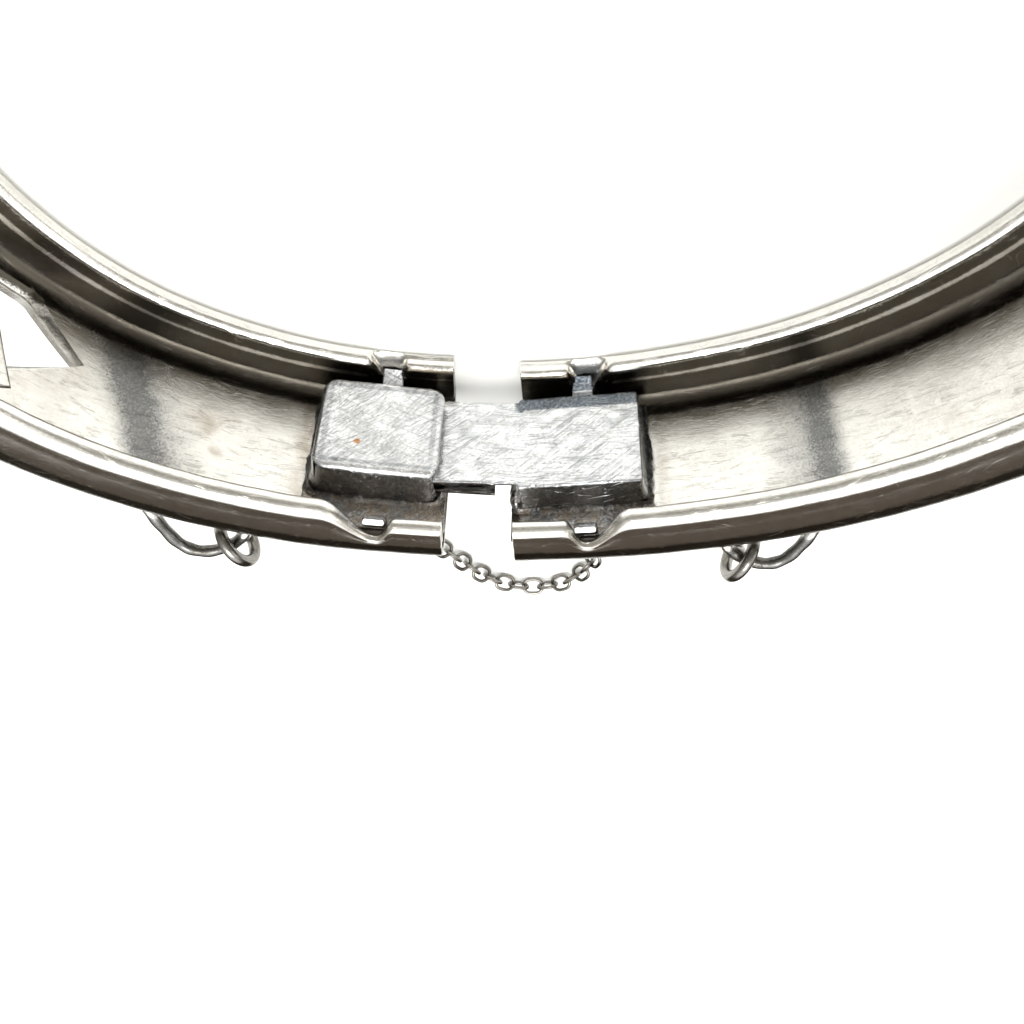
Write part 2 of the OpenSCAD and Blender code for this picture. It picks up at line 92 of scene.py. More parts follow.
def bandToWorld(side, coords):
    coords = np.asarray(coords, float)
    x, y, head = alongPlan(planU(side, coords[:, 0]))
    px = x - np.sin(head) * coords[:, 1] - pinX
    py = y + np.cos(head) * coords[:, 1] - pinY
    c, k = math.cos(side * plan["swing"]), math.sin(side * plan["swing"])
    return np.stack([pinX + c * px - k * py, pinY + k * px + c * py, halfWidth + coords[:, 2]], 1) * mm


trackS = np.linspace(-1.0, halfLength + 1.0, 1400)


def worldToBand(side, points):
    points = np.asarray(points, float) / mm
    c, k = math.cos(-side * plan["swing"]), math.sin(-side * plan["swing"])
    dx, dy = points[:, 0] - pinX, points[:, 1] - pinY
    flat = np.stack([pinX + c * dx - k * dy, pinY + k * dx + c * dy], 1)
    x, y, head = alongPlan(planU(side, trackS))
    track = np.stack([x, y], 1)
    found = np.zeros(len(points), int)
    for start in range(0, len(points), 4000):
        part = flat[start:start + 4000]
        found[start:start + 4000] = ((part[:, None, :] - track[None]) ** 2).sum(2).argmin(1)
    gap = flat - track[found]
    s = trackS[found] + side * (gap[:, 0] * np.cos(head[found]) + gap[:, 1] * np.sin(head[found]))
    h = -gap[:, 0] * np.sin(head[found]) + gap[:, 1] * np.cos(head[found])
    return np.stack([s, h, points[:, 2] - halfWidth], 1)


def bandFrame(side, s):
    x, y, head = alongPlan(planU(side, s))
    swung = (Matrix.Translation((pinX, pinY, 0)) @ Matrix.Rotation(side * plan["swing"], 4, "Z")
             @ Matrix.Translation((-pinX, -pinY, 0)))
    return (Matrix.Scale(mm, 4) @ swung @ Matrix.Translation((float(x), float(y), halfWidth))
            @ Matrix.Rotation(float(head), 4, "Z"))


def ripple(points, scale, seed=0.0):
    shift = Vector((seed, seed * 0.7, -seed))
    return np.array([noise.noise(Vector(p) * scale + shift) for p in points])


def glow(x, middle, width):
    return np.exp(-((x - middle) / width) ** 2)


def slope(x, start, end):
    t = np.clip((x - start) / (end - start), 0.0, 1.0)
    return t * t * (3 - 2 * t)


def newPiece(name, points, faces):
    mesh = bpy.data.meshes.new(name)
    mesh.from_pydata([tuple(p) for p in points], [], faces)
    mesh.validate()
    piece = bpy.data.objects.new(name, mesh)
    bpy.context.scene.collection.objects.link(piece)
    return piece


def readPoints(piece):
    flat = np.empty(len(piece.data.vertices) * 3)
    piece.data.vertices.foreach_get("co", flat)
    return flat.reshape(-1, 3)


def paint(piece, coords, **masks):
    mesh = piece.data
    for name in list(masks) + ["bandCoord"]:
        if name in mesh.attributes:
            mesh.attributes.remove(mesh.attributes[name])
    place = mesh.attributes.new("bandCoord", "FLOAT_VECTOR", "POINT")
    place.data.foreach_set("vector", np.asarray(coords, np.float32).ravel())
    for name, values in masks.items():
        layer = mesh.attributes.new(name, "FLOAT", "POINT")
        layer.data.foreach_set("value", np.clip(values, 0, 1).astype(np.float32))


def smoothOff(piece, angle=38):
    piece.data.shade_smooth()
    piece.data.set_sharp_from_angle(angle=math.radians(angle))


def finishPiece(piece, material, slotName, *nodes):
    piece.data.materials.clear()
    piece.data.materials.append(material)
    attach(piece, "root")
    if nodes:
        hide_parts(*nodes)
    print(piece.name, "has", len(piece.data.polygons), "faces")


def fixNormals(piece):
    work = bmesh.new()
    work.from_mesh(piece.data)
    bmesh.ops.recalc_face_normals(work, faces=work.faces)
    work.to_mesh(piece.data)
    work.free()


def solidPiece(name, points, faces):
    piece = newPiece(name, points, faces)
    fixNormals(piece)
    return piece


def carve(piece, cutters):
    for cutter in cutters:
        fixNormals(cutter)
        step = piece.modifiers.new("cut", "BOOLEAN")
        step.operation = "DIFFERENCE"
        step.solver = "EXACT"
        step.object = cutter
    bpy.context.view_layer.update()
    seen = piece.evaluated_get(bpy.context.evaluated_depsgraph_get())
    carved = bpy.data.meshes.new_from_object(seen)
    piece.modifiers.clear()
    piece.data = carved
    for cutter in cutters:
        bpy.data.objects.remove(cutter)


def joinPieces(target, others):
    work = bmesh.new()
    work.from_mesh(target.data)
    for other in others:
        work.from_mesh(other.data)
        bpy.data.objects.remove(other)
    work.to_mesh(target.data)
    work.free()


def ringFaces(ringCount, pointCount, closedRings=False, capped=True):
    faces = []
    last = ringCount if closedRings else ringCount - 1
    for i in range(last):
        k = (i + 1) % ringCount
        for j in range(pointCount):
            n = (j + 1) % pointCount
            faces.append((i * pointCount + j, i * pointCount + n, k * pointCount + n, k * pointCount + j))
    if capped and not closedRings:
        faces.append(tuple(range(pointCount - 1, -1, -1)))
        faces.append(tuple(range((ringCount - 1) * pointCount, ringCount * pointCount)))
    return faces


def arcPoints(cx, cy, radius, start, end, steps, skipFirst=True):
    angles = np.radians(np.linspace(start, end, steps + 1))[1 if skipFirst else 0:]
    return [(cx + radius * math.cos(a), cy + radius * math.sin(a)) for a in angles]


def offsetOutline(outline, distance):
    p = np.asarray(outline, float)
    before, after = np.roll(p, 1, 0), np.roll(p, -1, 0)
    area = np.sum(p[:, 0] * after[:, 1] - after[:, 0] * p[:, 1])
    sign = 1.0 if area > 0 else -1.0
    e1, e2 = p - before, after - p
    e1 /= np.linalg.norm(e1, axis=1)[:, None] + 1e-12
    e2 /= np.linalg.norm(e2, axis=1)[:, None] + 1e-12
    n1 = np.stack([e1[:, 1], -e1[:, 0]], 1) * sign
    n2 = np.stack([e2[:, 1], -e2[:, 0]], 1) * sign
    m = n1 + n2
    scale = 2.0 / np.maximum((m ** 2).sum(1), 0.35)
    return p + m * (scale * distance)[:, None]


def roundOutline(length, width, corner, steps=6):
    x, y = length / 2 - corner, width / 2 - corner
    points = []
    for k, (cx, cy) in enumerate([(x, y), (-x, y), (-x, -y), (x, -y)]):
        points += arcPoints(cx, cy, corner, 90 * k, 90 * k + 90, steps, False)
    return points


def softSlab(name, outline, low, high, edge, toSpace, crown=0.0, inner=3):
    span = np.asarray(outline, float)
    rings = []
    for a in np.array([0.0, 0.3, 0.62, 1.0]) * math.pi / 2:
        rings.append((edge * (1 - math.sin(a)), low + edge * (1 - math.cos(a))))
    for a in np.array([0.0, 0.38, 0.7, 1.0]) * math.pi / 2:
        rings.append((edge * (1 - math.cos(a)), high - edge * (1 - math.sin(a))))
    layers = [(offsetOutline(span, -inset), level) for inset, level in rings]
    middle = layers[-1][0].mean(0)
    for k in range(1, inner + 1):
        f = 1 - k / (inner + 1)
        layers.append((middle + (layers[7][0] - middle) * f, high + crown * (1 - f * f)))
    points = [toSpace(x, y, level) for ring, level in layers for x, y in ring]
    return solidPiece(name, points, ringFaces(len(layers), len(span)))


def makeNode(tree, kind, inputs=(), **settings):
    made = tree.nodes.new("ShaderNode" + kind)
    for key, value in settings.items():
        setattr(made, key, value)
    for key, value in dict(inputs).items():
        if isinstance(value, bpy.types.NodeSocket):
            tree.links.new(value, made.inputs[key])
        else:
            made.inputs[key].default_value = value
    return made


def sums(tree, operation, a, b=0.0, clamp=False):
    return makeNode(tree, "Math", {0: a, 1: b}, operation=operation, use_clamp=clamp).outputs[0]


def times(tree, a, b, clamp=False):
    return sums(tree, "MULTIPLY", a, b, clamp=clamp)


def plus(tree, a, b, clamp=False):
    return sums(tree, "ADD", a, b, clamp=clamp)


def minus(tree, a, b):
    return sums(tree, "SUBTRACT", a, b)


def grain(tree, place, scale, detail=4.0, rough=0.6, distortion=0.0):
    return makeNode(tree, "TexNoise", {"Vector": place, "Scale": scale, "Detail": detail, "Roughness": rough,
                                       "Distortion": distortion}).outputs["Fac"]


def stretched(tree, place, scale, turn=(0, 0, 0)):
    span = tuple(1 / v for v in scale)
    return makeNode(tree, "Mapping", {"Vector": place, "Scale": span, "Rotation": turn},
                    vector_type="TEXTURE").outputs[0]


def ramp(tree, value, stops):
    made = makeNode(tree, "ValToRGB", {"Fac": value})
    line = made.color_ramp
    while len(line.elements) < len(stops):
        line.elements.new(0.5)
    for element, (position, tone) in zip(line.elements, stops):
        element.position = position
        element.color = (tone[0], tone[1], tone[2], 1) if isinstance(tone, tuple) else (tone, tone, tone, 1)
    return made.outputs[0]


def blendTone(tree, factor, a, b):
    made = makeNode(tree, "Mix", {0: factor}, data_type="RGBA")
    for key, value in ((6, a), (7, b)):
        if isinstance(value, bpy.types.NodeSocket):
            tree.links.new(value, made.inputs[key])
        else:
            made.inputs[key].default_value = (*value, 1)
    return made.outputs[2]


def hairlines(tree, place, turn, fineness, share):
    lane = stretched(tree, place, (0.2, 0.8, fineness * 1.5), (0, turn, 0))
    wander = grain(tree, lane, 1.0, 0.6, 0.3)
    offCentre = sums(tree, "ABSOLUTE", minus(tree, wander, 0.5))
    thin = ramp(tree, offCentre, [(0.014, 1.0), (0.034, 0.0)])
    patch = ramp(tree, grain(tree, stretched(tree, place, (0.5, 0.5, 1.6), (0, turn, 0)), 1.0, 2.0),
                 [(share, 0.0), (share + 0.08, 1.0)])
    return times(tree, thin, patch)


def silverFinish(name, look):
    material = bpy.data.materials.new(name)
    material.use_nodes = True
    tree = material.node_tree
    tree.nodes.clear()
    out = tree.nodes.new("ShaderNodeOutputMaterial")
    place = makeNode(tree, "Attribute", attribute_name="bandCoord").outputs["Vector"]
    if look.get("byObject"):
        place = stretched(tree, makeNode(tree, "TexCoord").outputs["Object"], (1000.0, 1000.0, 1000.0))
    dark, brown, satin, deep = [makeNode(tree, "Attribute", attribute_name=mask).outputs["Fac"]
                                for mask in ("tarnish", "stain", "satin", "deep")]
    cloud = grain(tree, place, look["cloudScale"], 5.0, 0.62, 0.4)
    speck = grain(tree, place, look["speckScale"], 6.0, 0.7)
    streak = grain(tree, stretched(tree, place, look["streak"]), 1.0, 5.0, 0.6, 0.2)
    # Mottled edge: the mask of tarnish, painted shade and painted reflections breaks up where cloud and speck
    # pass it
    broken = plus(tree, times(tree, cloud, 0.35), times(tree, speck, 0.75))
    reach = minus(tree, plus(tree, dark, look["tarnish"]), minus(tree, broken, 0.3))
    darkPart = ramp(tree, reach, [(0.0, 0.0), (look["tarnishEdge"], 1.0)])
    tone = ramp(tree, streak, [(0.25, look["shade"]), (0.62, look["bright"])])
    # Blue-grey dark tone: real tarnish on the wire and outside, painted shade on lip faces, rim sides and box
    # walls, and painted dark reflections on the band floor
    tone = blendTone(tree, times(tree, darkPart, look["darkShare"], clamp=True), tone, look["dark"])
    # Brown tone: real stains on the floor and outside, plus painted brown reflections on rim sides, lip faces
    # and the boxes' near walls
    brownPart = times(tree, brown, ramp(tree, cloud, [(0.3, 0.1), (0.6, 1.0)]), clamp=True)
    tone = blendTone(tree, brownPart, tone, look["brown"])
    speckPart = ramp(tree, speck, [(0.44, 0.0), (0.60, look["speckShare"])])
    tone = blendTone(tree, speckPart, tone, look["speckTone"])
    if "spot" in look:
        far = makeNode(tree, "VectorMath", {0: place, 1: look["spot"]}, operation="DISTANCE").outputs["Value"]
        uneven = plus(tree, far, times(tree, speck, 0.5))
        tone = blendTone(tree, ramp(tree, uneven, [(0.40, 1.0), (0.52, 0.0)]), tone, look["spotTone"])
    # Near-black tone: painted shade under the lips, in the crimp pockets, on lip faces, rim sides, window
    # walls and box walls, plus the wire loops' own dark tone
    edge = plus(tree, deep, minus(tree, times(tree, broken, 0.9), 0.5))
    deepPart = times(tree, ramp(tree, edge, [(0.42, 0.0), (0.62, 1.0)]), 0.93)
    tone = blendTone(tree, deepPart, tone, look["black"])
    turns = look["lineTurns"]
    lines = sums(tree, "MAXIMUM", hairlines(tree, place, turns[0], 6.0, look["lineShare"]),
                 hairlines(tree, place, turns[1], 8.0, look["lineShare"]))
    lines = sums(tree, "MAXIMUM", lines, hairlines(tree, place, turns[2], 7.0, look["lineShare"] + 0.04))
    tone = blendTone(tree, times(tree, lines, look["lineShade"]), tone, look["lineTone"])
    roughness = plus(tree, ramp(tree, cloud, [(0.3, look["smooth"]), (0.72, look["rough"])]),
                     times(tree, darkPart, 0.08))
    roughness = plus(tree, roughness, times(tree, satin, look["satin"]), clamp=True)
    height = plus(tree, times(tree, speck, look["grain"]),
                  times(tree, cloud, look["wave"]))
    height = plus(tree, height, times(tree, streak, look["pull"]))
    height = minus(tree, height, times(tree, lines, look["scratch"]))
    bump = makeNode(tree, "Bump", {"Height": height, "Strength": look["bump"], "Distance": 0.0001}).outputs[0]
    shader = makeNode(tree, "BsdfPrincipled", {"Base Color": tone, "Metallic": 1.0, "Roughness": roughness,
                                               "Normal": bump})
    tree.links.new(shader.outputs[0], out.inputs[0])
    return material


# dark, brown and black carry painted shade and painted reflections as well as real tarnish, stains and the
# wire's dark tone
bandLook = {"cloudScale": 0.6, "speckScale": 7.5, "streak": (0.2, 2.2, 2.2), "tarnish": 0.0,
            "tarnishEdge": 0.45, "darkShare": 0.9, "bright": (1.0, 0.985, 0.95), "shade": (0.84, 0.825, 0.78),
            "dark": (0.10, 0.112, 0.125), "brown": (0.30, 0.22, 0.14), "black": (0.044, 0.035, 0.020),
            "speckShare": 0.34, "speckTone": (0.50, 0.48, 0.43), "lineShare": 0.56, "lineShade": 0.20,
            "lineTurns": (0.06, -0.1, 0.3), "lineTone": (0.48, 0.44, 0.39), "smooth": 0.12, "rough": 0.24,
            "satin": 0.05, "grain": 0.30, "wave": 0.10, "pull": 0.09, "scratch": 0.14, "bump": 0.42}
boxLook = dict(bandLook, streak=(0.7, 0.9, 0.9), cloudScale=0.9, speckScale=5.5, bright=(1.0, 1.0, 1.0),
               shade=(0.70, 0.71, 0.725), lineShare=0.40, scratch=0.5, lineShade=0.42,
               lineTone=(0.40, 0.42, 0.44),
               lineTurns=(0.62, 0.95, -0.35), speckTone=(0.42, 0.46, 0.50), speckShare=0.4, grain=0.4,
               wave=0.25, bump=0.55, smooth=0.10, rough=0.22)
catchLook = dict(boxLook, spot=(-1.35, 3.66, 0.45), spotTone=(0.62, 0.30, 0.13))
tongueLook = dict(boxLook, shade=(0.56, 0.575, 0.59), dark=(0.05, 0.07, 0.095), tarnishEdge=0.2,
                  tarnish=-0.05, darkShare=0.93, lineShare=0.45, lineTurns=(0.7, 0.05, -0.12), speckShare=0.5)
wireLook = dict(bandLook, streak=(0.5, 0.5, 0.5), cloudScale=1.1, bright=(0.27, 0.26, 0.245),
                shade=(0.16, 0.155, 0.145), dark=(0.07, 0.065, 0.06), smooth=0.12, rough=0.24,
                speckShare=0.15, lineShare=0.6, grain=0.2, byObject=True)
pinLook = dict(wireLook, bright=(0.66, 0.65, 0.62), shade=(0.50, 0.49, 0.46))
bandSilver = silverFinish("satinBandSilver", bandLook)
boxSilver = silverFinish("brightBoxSilver", catchLook)
tongueSilver = silverFinish("springTongueSilver", tongueLook)
wireSilver = silverFinish("darkWireSilver", wireLook)
pinSilver = silverFinish("hingePinSilver", pinLook)
print("finishes made")

sheet = {"thick": 0.5, "dome": 0.3, "rimHeight": 4.7, "rimWidth": 1.35, "lipGap": 1.3, "edgeR": 1.7,
         "rimR": 0.729, "lipR": 0.5805, "lipLean": 0.12, "floorHollow": 0.1, "sideBulge": 0.10}
# Crimps over the holding tabs, keyed by half and rim: the near rims are pressed right down
crimpColumns = ("s", "gapReach", "farReach", "depth", "plateau", "push")
crimpRows = {(-1, 1): (4.25, 1.7, 4.1, 2.5, 1.0, 0.85), (1, 1): (4.55, 1.7, 3.3, 2.45, 0.6, 0.85),
             (-1, -1): (4.55, 1.5, 2.2, 2.5, 0.35, 0.5), (1, -1): (4.75, 1.7, 2.4, 2.5, 0.3, 0.5)}
crimps = {place: dict(zip(crimpColumns, row)) for place, row in crimpRows.items()}
crimpBase = 1.3


def sheetSection():
    thin = sheet["thick"]
    flatZ = halfWidth - sheet["edgeR"]
    lipZ = halfWidth - sheet["rimWidth"]
    lipH = sheet["rimHeight"] - sheet["lipR"]
    bow = (flatZ ** 2 + sheet["dome"] ** 2) / (2 * sheet["dome"])
    wallLow, wallHigh = sheet["edgeR"] - thin, sheet["rimHeight"] - sheet["rimR"]
    # Outer skin from the middle out, round the rim and down the lip
    points = [(-thin - sheet["dome"] + bow - math.sqrt(bow ** 2 - z ** 2), z)
              for z in np.linspace(0, flatZ, 12)]
    points += arcPoints(wallLow, flatZ, sheet["edgeR"], 180, 90, 9)
    points += [(wallLow + (wallHigh - wallLow) * t, halfWidth - sheet["sideBulge"] * (2 * t - 1) ** 2)
               for t in np.linspace(0, 1, 8)[1:-1]]
    points += arcPoints(wallHigh, halfWidth - sheet["rimR"], sheet["rimR"], 90, 0, 8, False)
    points += arcPoints(lipH, lipZ + sheet["lipR"], sheet["lipR"], 0, -90, 7)
    points += [(lipH + (sheet["lipGap"] - lipH) * t, lipZ + sheet["lipLean"] * t)
               for t in np.linspace(0, 1, 9)[1:]]
    # Inner skin, back up the lip and down to the floor
    points.append((sheet["lipGap"] - 0.12, lipZ + sheet["lipLean"] + thin * 0.5))
    points += [(sheet["lipGap"] + (lipH - sheet["lipGap"]) * t, lipZ + thin + sheet["lipLean"] * (1 - t))
               for t in np.linspace(0, 1, 7)[:-1]]
    points += arcPoints(lipH, lipZ + sheet["lipR"], sheet["lipR"] - thin, -90, 0, 2)
    points += arcPoints(wallHigh, halfWidth - sheet["rimR"], sheet["rimR"] - thin, 0, 90, 4)
    points += [(wallLow + (wallHigh - wallLow) * t, halfWidth - thin) for t in np.linspace(1, 0, 5)[1:-1]]
    points += arcPoints(wallLow, flatZ, sheet["edgeR"] - thin, 90, 180, 6, False)
    points += [(-sheet["floorHollow"] * (1 - (z / flatZ) ** 2), z) for z in np.linspace(flatZ, 0, 12)[1:]]
    half = np.array(points)
    under = half[::-1] * np.array([1.0, -1.0])
    return np.vstack([half, under[np.abs(under[:, 1]) > 1e-6]])


def pressCrimps(side, s, h, z):
    for rim in (1, -1):
        crimp = crimps[(side, rim)]
        ds = s - crimp["s"]
        t = np.clip(np.abs(ds) / np.where(ds < 0, crimp["gapReach"], crimp["farReach"]), 0, 1)
        bell = crimp["depth"] * (0.5 + 0.5 * np.cos(np.pi * t)) ** 1.25
        flat = crimp["plateau"] * (1 - slope(s, crimp["s"], crimp["s"] + 1.6))
        drop = (bell ** 4 + flat ** 4) ** 0.25
        if rim < 0:
            drop = drop * (1 - slope(np.abs(z), 6.2, 6.72))
        on = (np.sign(z) == rim) & (np.abs(z) > 5.2) & (h > crimpBase)
        outward = np.maximum(0, 6.62 - np.abs(z)) * crimp["push"] * np.minimum(drop / 2.4, 1)
        h = np.where(on, crimpBase + (h - crimpBase) * (1 - drop / (sheet["rimHeight"] - crimpBase)), h)
        z = np.where(on, z + rim * outward, z)
    return h, z


def bandHalf(name, side, seed):
    section = sheetSection()
    stations = np.concatenate([[0.0, 0.05, 0.14], np.arange(0.3, 9.6, 0.15), np.arange(9.6, 14, 0.3),
                               np.linspace(14, halfLength - 0.14, 180), [halfLength - 0.05, halfLength]])
    count = len(section)
    s = np.repeat(stations, count)
    h = np.tile(section[:, 0], len(stations))
    z = np.tile(section[:, 1], len(stations))
    shy = offsetOutline(section, -0.045) - section
    ends = np.repeat((stations < 1e-6) | (stations > halfLength - 1e-6), count)
    h = h + np.where(ends, np.tile(shy[:, 0], len(stations)), 0)
    z = z + np.where(ends, np.tile(shy[:, 1], len(stations)), 0)
    h, z = pressCrimps(side, s, h, z)
    if side > 0:
        s = s - 0.28 * slope(z, 0.0, 6.5) * (1 - slope(s, 0.0, 6.0))
    # Handwork: the sheet and the rolled rims are never quite true
    place = np.stack([s, h, z], 1)
    slow = ripple(place * np.array([0.16, 0.5, 0.30]), 1.0, seed)
    quick = ripple(place * np.array([0.55, 0.8, 0.8]), 1.0, seed + 9.1)
    calm = slope(s, 0.2, 1.5) * slope(halfLength - s, 0.2, 1.5)
    h = h + calm * (0.045 * slow + 0.018 * quick)
    z = z - np.sign(z) * slope(np.abs(z), 4.5, 6.0) * calm * (0.02 + 0.02 * quick + 0.02 * slow)
    if side < 0:
        dent = np.exp(-((s - 27.5 - 0.9 * (z - 2)) / 1.1) ** 2) * slope(z, 1.2, 2.4) * slope(4.9, z, z + 1)
        h = h - 0.12 * dent * (np.abs(h) < 0.5)
    coords = np.stack([s, h, z], 1)
    return solidPiece(name, bandToWorld(side, coords), ringFaces(len(stations), count))


window = {"s": 32.6, "z": -2.0, "length": 16.8, "width": 7.0, "corner": 4.1, "tipInset": 0.5,
          "sideInset": 0.9, "bossLength": 7.6, "bossWidth": 2.9, "bossCorner": 1.7, "bossShift": -0.8,
          "strutTurn": math.radians(62)}


def sixSided(length, width, corner):
    return [(length / 2, 0), (length / 2 - corner, width / 2), (corner - length / 2, width / 2),
            (-length / 2, 0), (corner - length / 2, -width / 2), (length / 2 - corner, -width / 2)]


def splitEdges(outline, stepLength):
    points = []
    for (x0, y0), (x1, y1) in zip(outline, outline[1:] + outline[:1]):
        n = max(1, int(round(math.hypot(x1 - x0, y1 - y0) / stepLength)))
        points += [(x0 + (x1 - x0) * i / n, y0 + (y1 - y0) * i / n) for i in range(n)]
    return points


def windowPlace(x, y, h):
    return (window["s"] - x, h, min(max(window["z"] + y, -5.35), 5.35))


def loftOnBand(name, side, layers):
    coords = np.array([p for layer in layers for p in layer])
    return solidPiece(name, bandToWorld(side, coords), ringFaces(len(layers), len(layers[0])))


def splitLike(outline, count):
    p = np.array(outline + outline[:1])
    walk = np.concatenate([[0], np.cumsum(np.linalg.norm(np.diff(p, axis=0), axis=1))])
    t = np.linspace(0, walk[-1], count, endpoint=False)
    return [(float(np.interp(v, walk, p[:, 0])), float(np.interp(v, walk, p[:, 1]))) for v in t]


def taperedWindow():
    wide = splitEdges(sixSided(window["length"], window["width"], window["corner"]), 0.6)
    narrow = splitEdges(sixSided(window["length"] - 2 * window["tipInset"],
                                 window["width"] - 2 * window["sideInset"], window["corner"] - 0.3), 0.6)
    narrow = splitLike(narrow, len(wide))
    return wide, narrow


def windowCutter():
    wide, narrow = taperedWindow()
    layers = []
    for h, mix in ((1.0, -0.6), (0.15, 0.0), (-0.55, 1.0), (-1.2, 1.1), (-2.6, 1.1)):
        ring = [(w[0] + (n[0] - w[0]) * mix, w[1] + (n[1] - w[1]) * mix) for w, n in zip(wide, narrow)]
        layers.append([windowPlace(x, y, h) for x, y in ring])
    return loftOnBand("windowCutter", -1, layers)


def windowFrame():
    narrow = taperedWindow()[1]
    rings = []
    for grow, h in ((0.0, -0.55), (0.0, -1.15), (0.18, -1.36), (0.5, -1.42), (1.0, -1.40), (1.3, -1.22),
                    (1.45, -0.62), (1.3, -0.4)):
        ring = offsetOutline(narrow, grow)
        rings.append([(window["s"] - x, h + 0.004 * (window["z"] + y) ** 2, window["z"] + y)
                      for x, y in ring])
    coords = np.array([p for ring in rings for p in ring])
    coords[:, 2] = np.clip(coords[:, 2], -6.2, 6.2)
    return solidPiece("windowFrame", bandToWorld(-1, coords),
                      ringFaces(len(rings), len(narrow), closedRings=True))


def windowMiddle():
    made = []
    boss = splitEdges(sixSided(window["bossLength"], window["bossWidth"], window["bossCorner"]), 0.5)
    made.append(softSlab("windowBoss", [(x + window["bossShift"], y) for x, y in boss], -1.15, 0.02, 0.22,
                         lambda x, y, h: bandToWorld(-1, [windowPlace(x, y, h)])[0], crown=0.12))
    for turn in (0.0, math.pi):
        bar = splitEdges([(-0.5, -0.6), (4.6, -0.6), (4.6, 0.6), (-0.5, 0.6)], 0.6)
        c, k = math.cos(window["strutTurn"]), math.sin(window["strutTurn"])
        placed = []
        for x, y in bar:
            px, py = c * x - k * y + window["bossLength"] / 2 - 0.5, k * x + c * y
            placed.append((math.cos(turn) * px - math.sin(turn) * py + window["bossShift"],
                           math.sin(turn) * px + math.cos(turn) * py))
        made.append(softSlab("windowBar", placed, -1.1, -0.02, 0.2,
                             lambda x, y, h: bandToWorld(-1, [windowPlace(x, y, h)])[0], inner=2))
    return made


# Raised leaves outside: s, z, length, width, turn
leafSpots = [(20, 4.0, 7.4, 3.2, 28), (19.8, -3.6, 6.6, 3, -30), (28.4, 3.9, 7, 2.4, -10),
             (45.7, 3.6, 7.4, 3.2, -28), (45.9, -3.8, 6.6, 3, 30), (37, 3.9, 6.6, 2.4, 10),
             (51.2, 0, 6.4, 3, 0), (15.4, 0.2, 5.6, 2.8, 0)]


def raisedLeaf(spot):
    s0, z0, length, width, turn = spot
    rows, cols = 34, 13
    coords = []
    for i in range(rows + 1):
        t = -1 + 2 * i / rows
        spread = width / 2 * (1 - t * t) ** 0.85 + 0.03
        for j in range(cols + 1):
            w = -1 + 2 * j / cols
            x, y = t * length / 2, w * spread
            vein = 0.22 * math.exp(-(y / 0.16) ** 2)
            ribs = 0.10 * math.cos(9 * (t + 0.55 * abs(w))) * (abs(w) > 0.15)
            crown = 0.62 * (1 - w * w) ** 0.5 * min(1.0, 4.5 * (1 - abs(t))) * (1 - 0.25 * abs(w))
            body = crown - vein + ribs * (1 - abs(w))
            a = math.radians(turn)
            px, py = x * math.cos(a) + y * math.sin(a), -x * math.sin(a) + y * math.cos(a)
            zz = z0 + py
            outside = -0.8 + 0.011 * zz * zz
            edgeRound = max(0.0, abs(zz) - 5.2)
            coords.append((s0 - px, outside - max(body, -0.02) + 0.05 + edgeRound ** 2 * 0.35, zz))
    top = len(coords)
    faces = []
    for i in range(rows):
        for j in range(cols):
            a = i * (cols + 1) + j
            faces.append((a, a + 1, a + cols + 2, a + cols + 1))
    rim = ([j for j in range(cols + 1)] + [i * (cols + 1) + cols for i in range(1, rows + 1)]
           + [rows * (cols + 1) + j for j in range(cols - 1, -1, -1)]
           + [i * (cols + 1) for i in range(rows - 1, 0, -1)])
    for k in rim:
        s, h, z = coords[k]
        coords.append((s, min(h + 0.35, -0.35), z))
    n = len(rim)
    for k in range(n):
        m = (k + 1) % n
        faces.append((rim[k], top + k, top + m, rim[m]))
    faces.append(tuple(top + k for k in range(n)))
    return solidPiece("leaf", bandToWorld(-1, coords), faces)


barrelSides = {"rod": 48, "barrel": 56}
hinge = {"pinR": 0.45, "barrelR": 1.0, "clear": 0.12, "headR": 0.7, "levels": (1.5, 5.05, 8.75, 12.3)}


def aroundPin(r, turn, level):
    return ((pinX + r * math.cos(turn)) * mm, (pinY + r * math.sin(turn)) * mm, level * mm)


def barrelRod(name, low, high, radius):
    sides = barrelSides["rod"]
    turns = [2 * math.pi * k / sides for k in range(sides)]
    points = [aroundPin(radius, turn, level) for level in (low, high) for turn in turns]
    return solidPiece(name, points, ringFaces(2, sides))


def hingeBarrel(low, high):
    hole = hinge["pinR"] + hinge["clear"]
    edge = 0.14
    outline = [(hole, low), (hinge["barrelR"] - edge, low), (hinge["barrelR"] - edge * 0.3, low + edge * 0.3),
               (hinge["barrelR"], low + edge), (hinge["barrelR"], high - edge),
               (hinge["barrelR"] - edge * 0.3, high - edge * 0.3), (hinge["barrelR"] - edge, high),
               (hole, high)]
    sides = barrelSides["barrel"]
    points = [aroundPin(r, 2 * math.pi * k / sides, level) for k in range(sides) for r, level in outline]
    return solidPiece("barrel", points, ringFaces(sides, len(outline), closedRings=True))


loops = {"wire": 0.4, "z": 5.55, "in": -0.12, "lean": math.radians(20)}
loopShapes = {
    -1: {"s": 15.6, "path": [(-3.25, 0.55), (-3.15, -0.1), (-2.6, -0.95), (-1.7, -1.95), (-0.7, -2.85),
                             (0.35, -3.22), (1.45, -2.95), (2.45, -2.1), (3.0, -1.1), (3.2, 0.0), (3.2, 0.6)]},
    1: {"s": 15.9, "path": [(2.95, 0.55), (2.85, -0.1), (2.4, -0.85), (1.6, -1.8), (0.6, -2.65),
                            (-0.4, -2.92), (-1.35, -2.6), (-2.2, -1.88), (-2.75, -1.0), (-2.9, 0.0),
                            (-2.9, 0.6)]}}


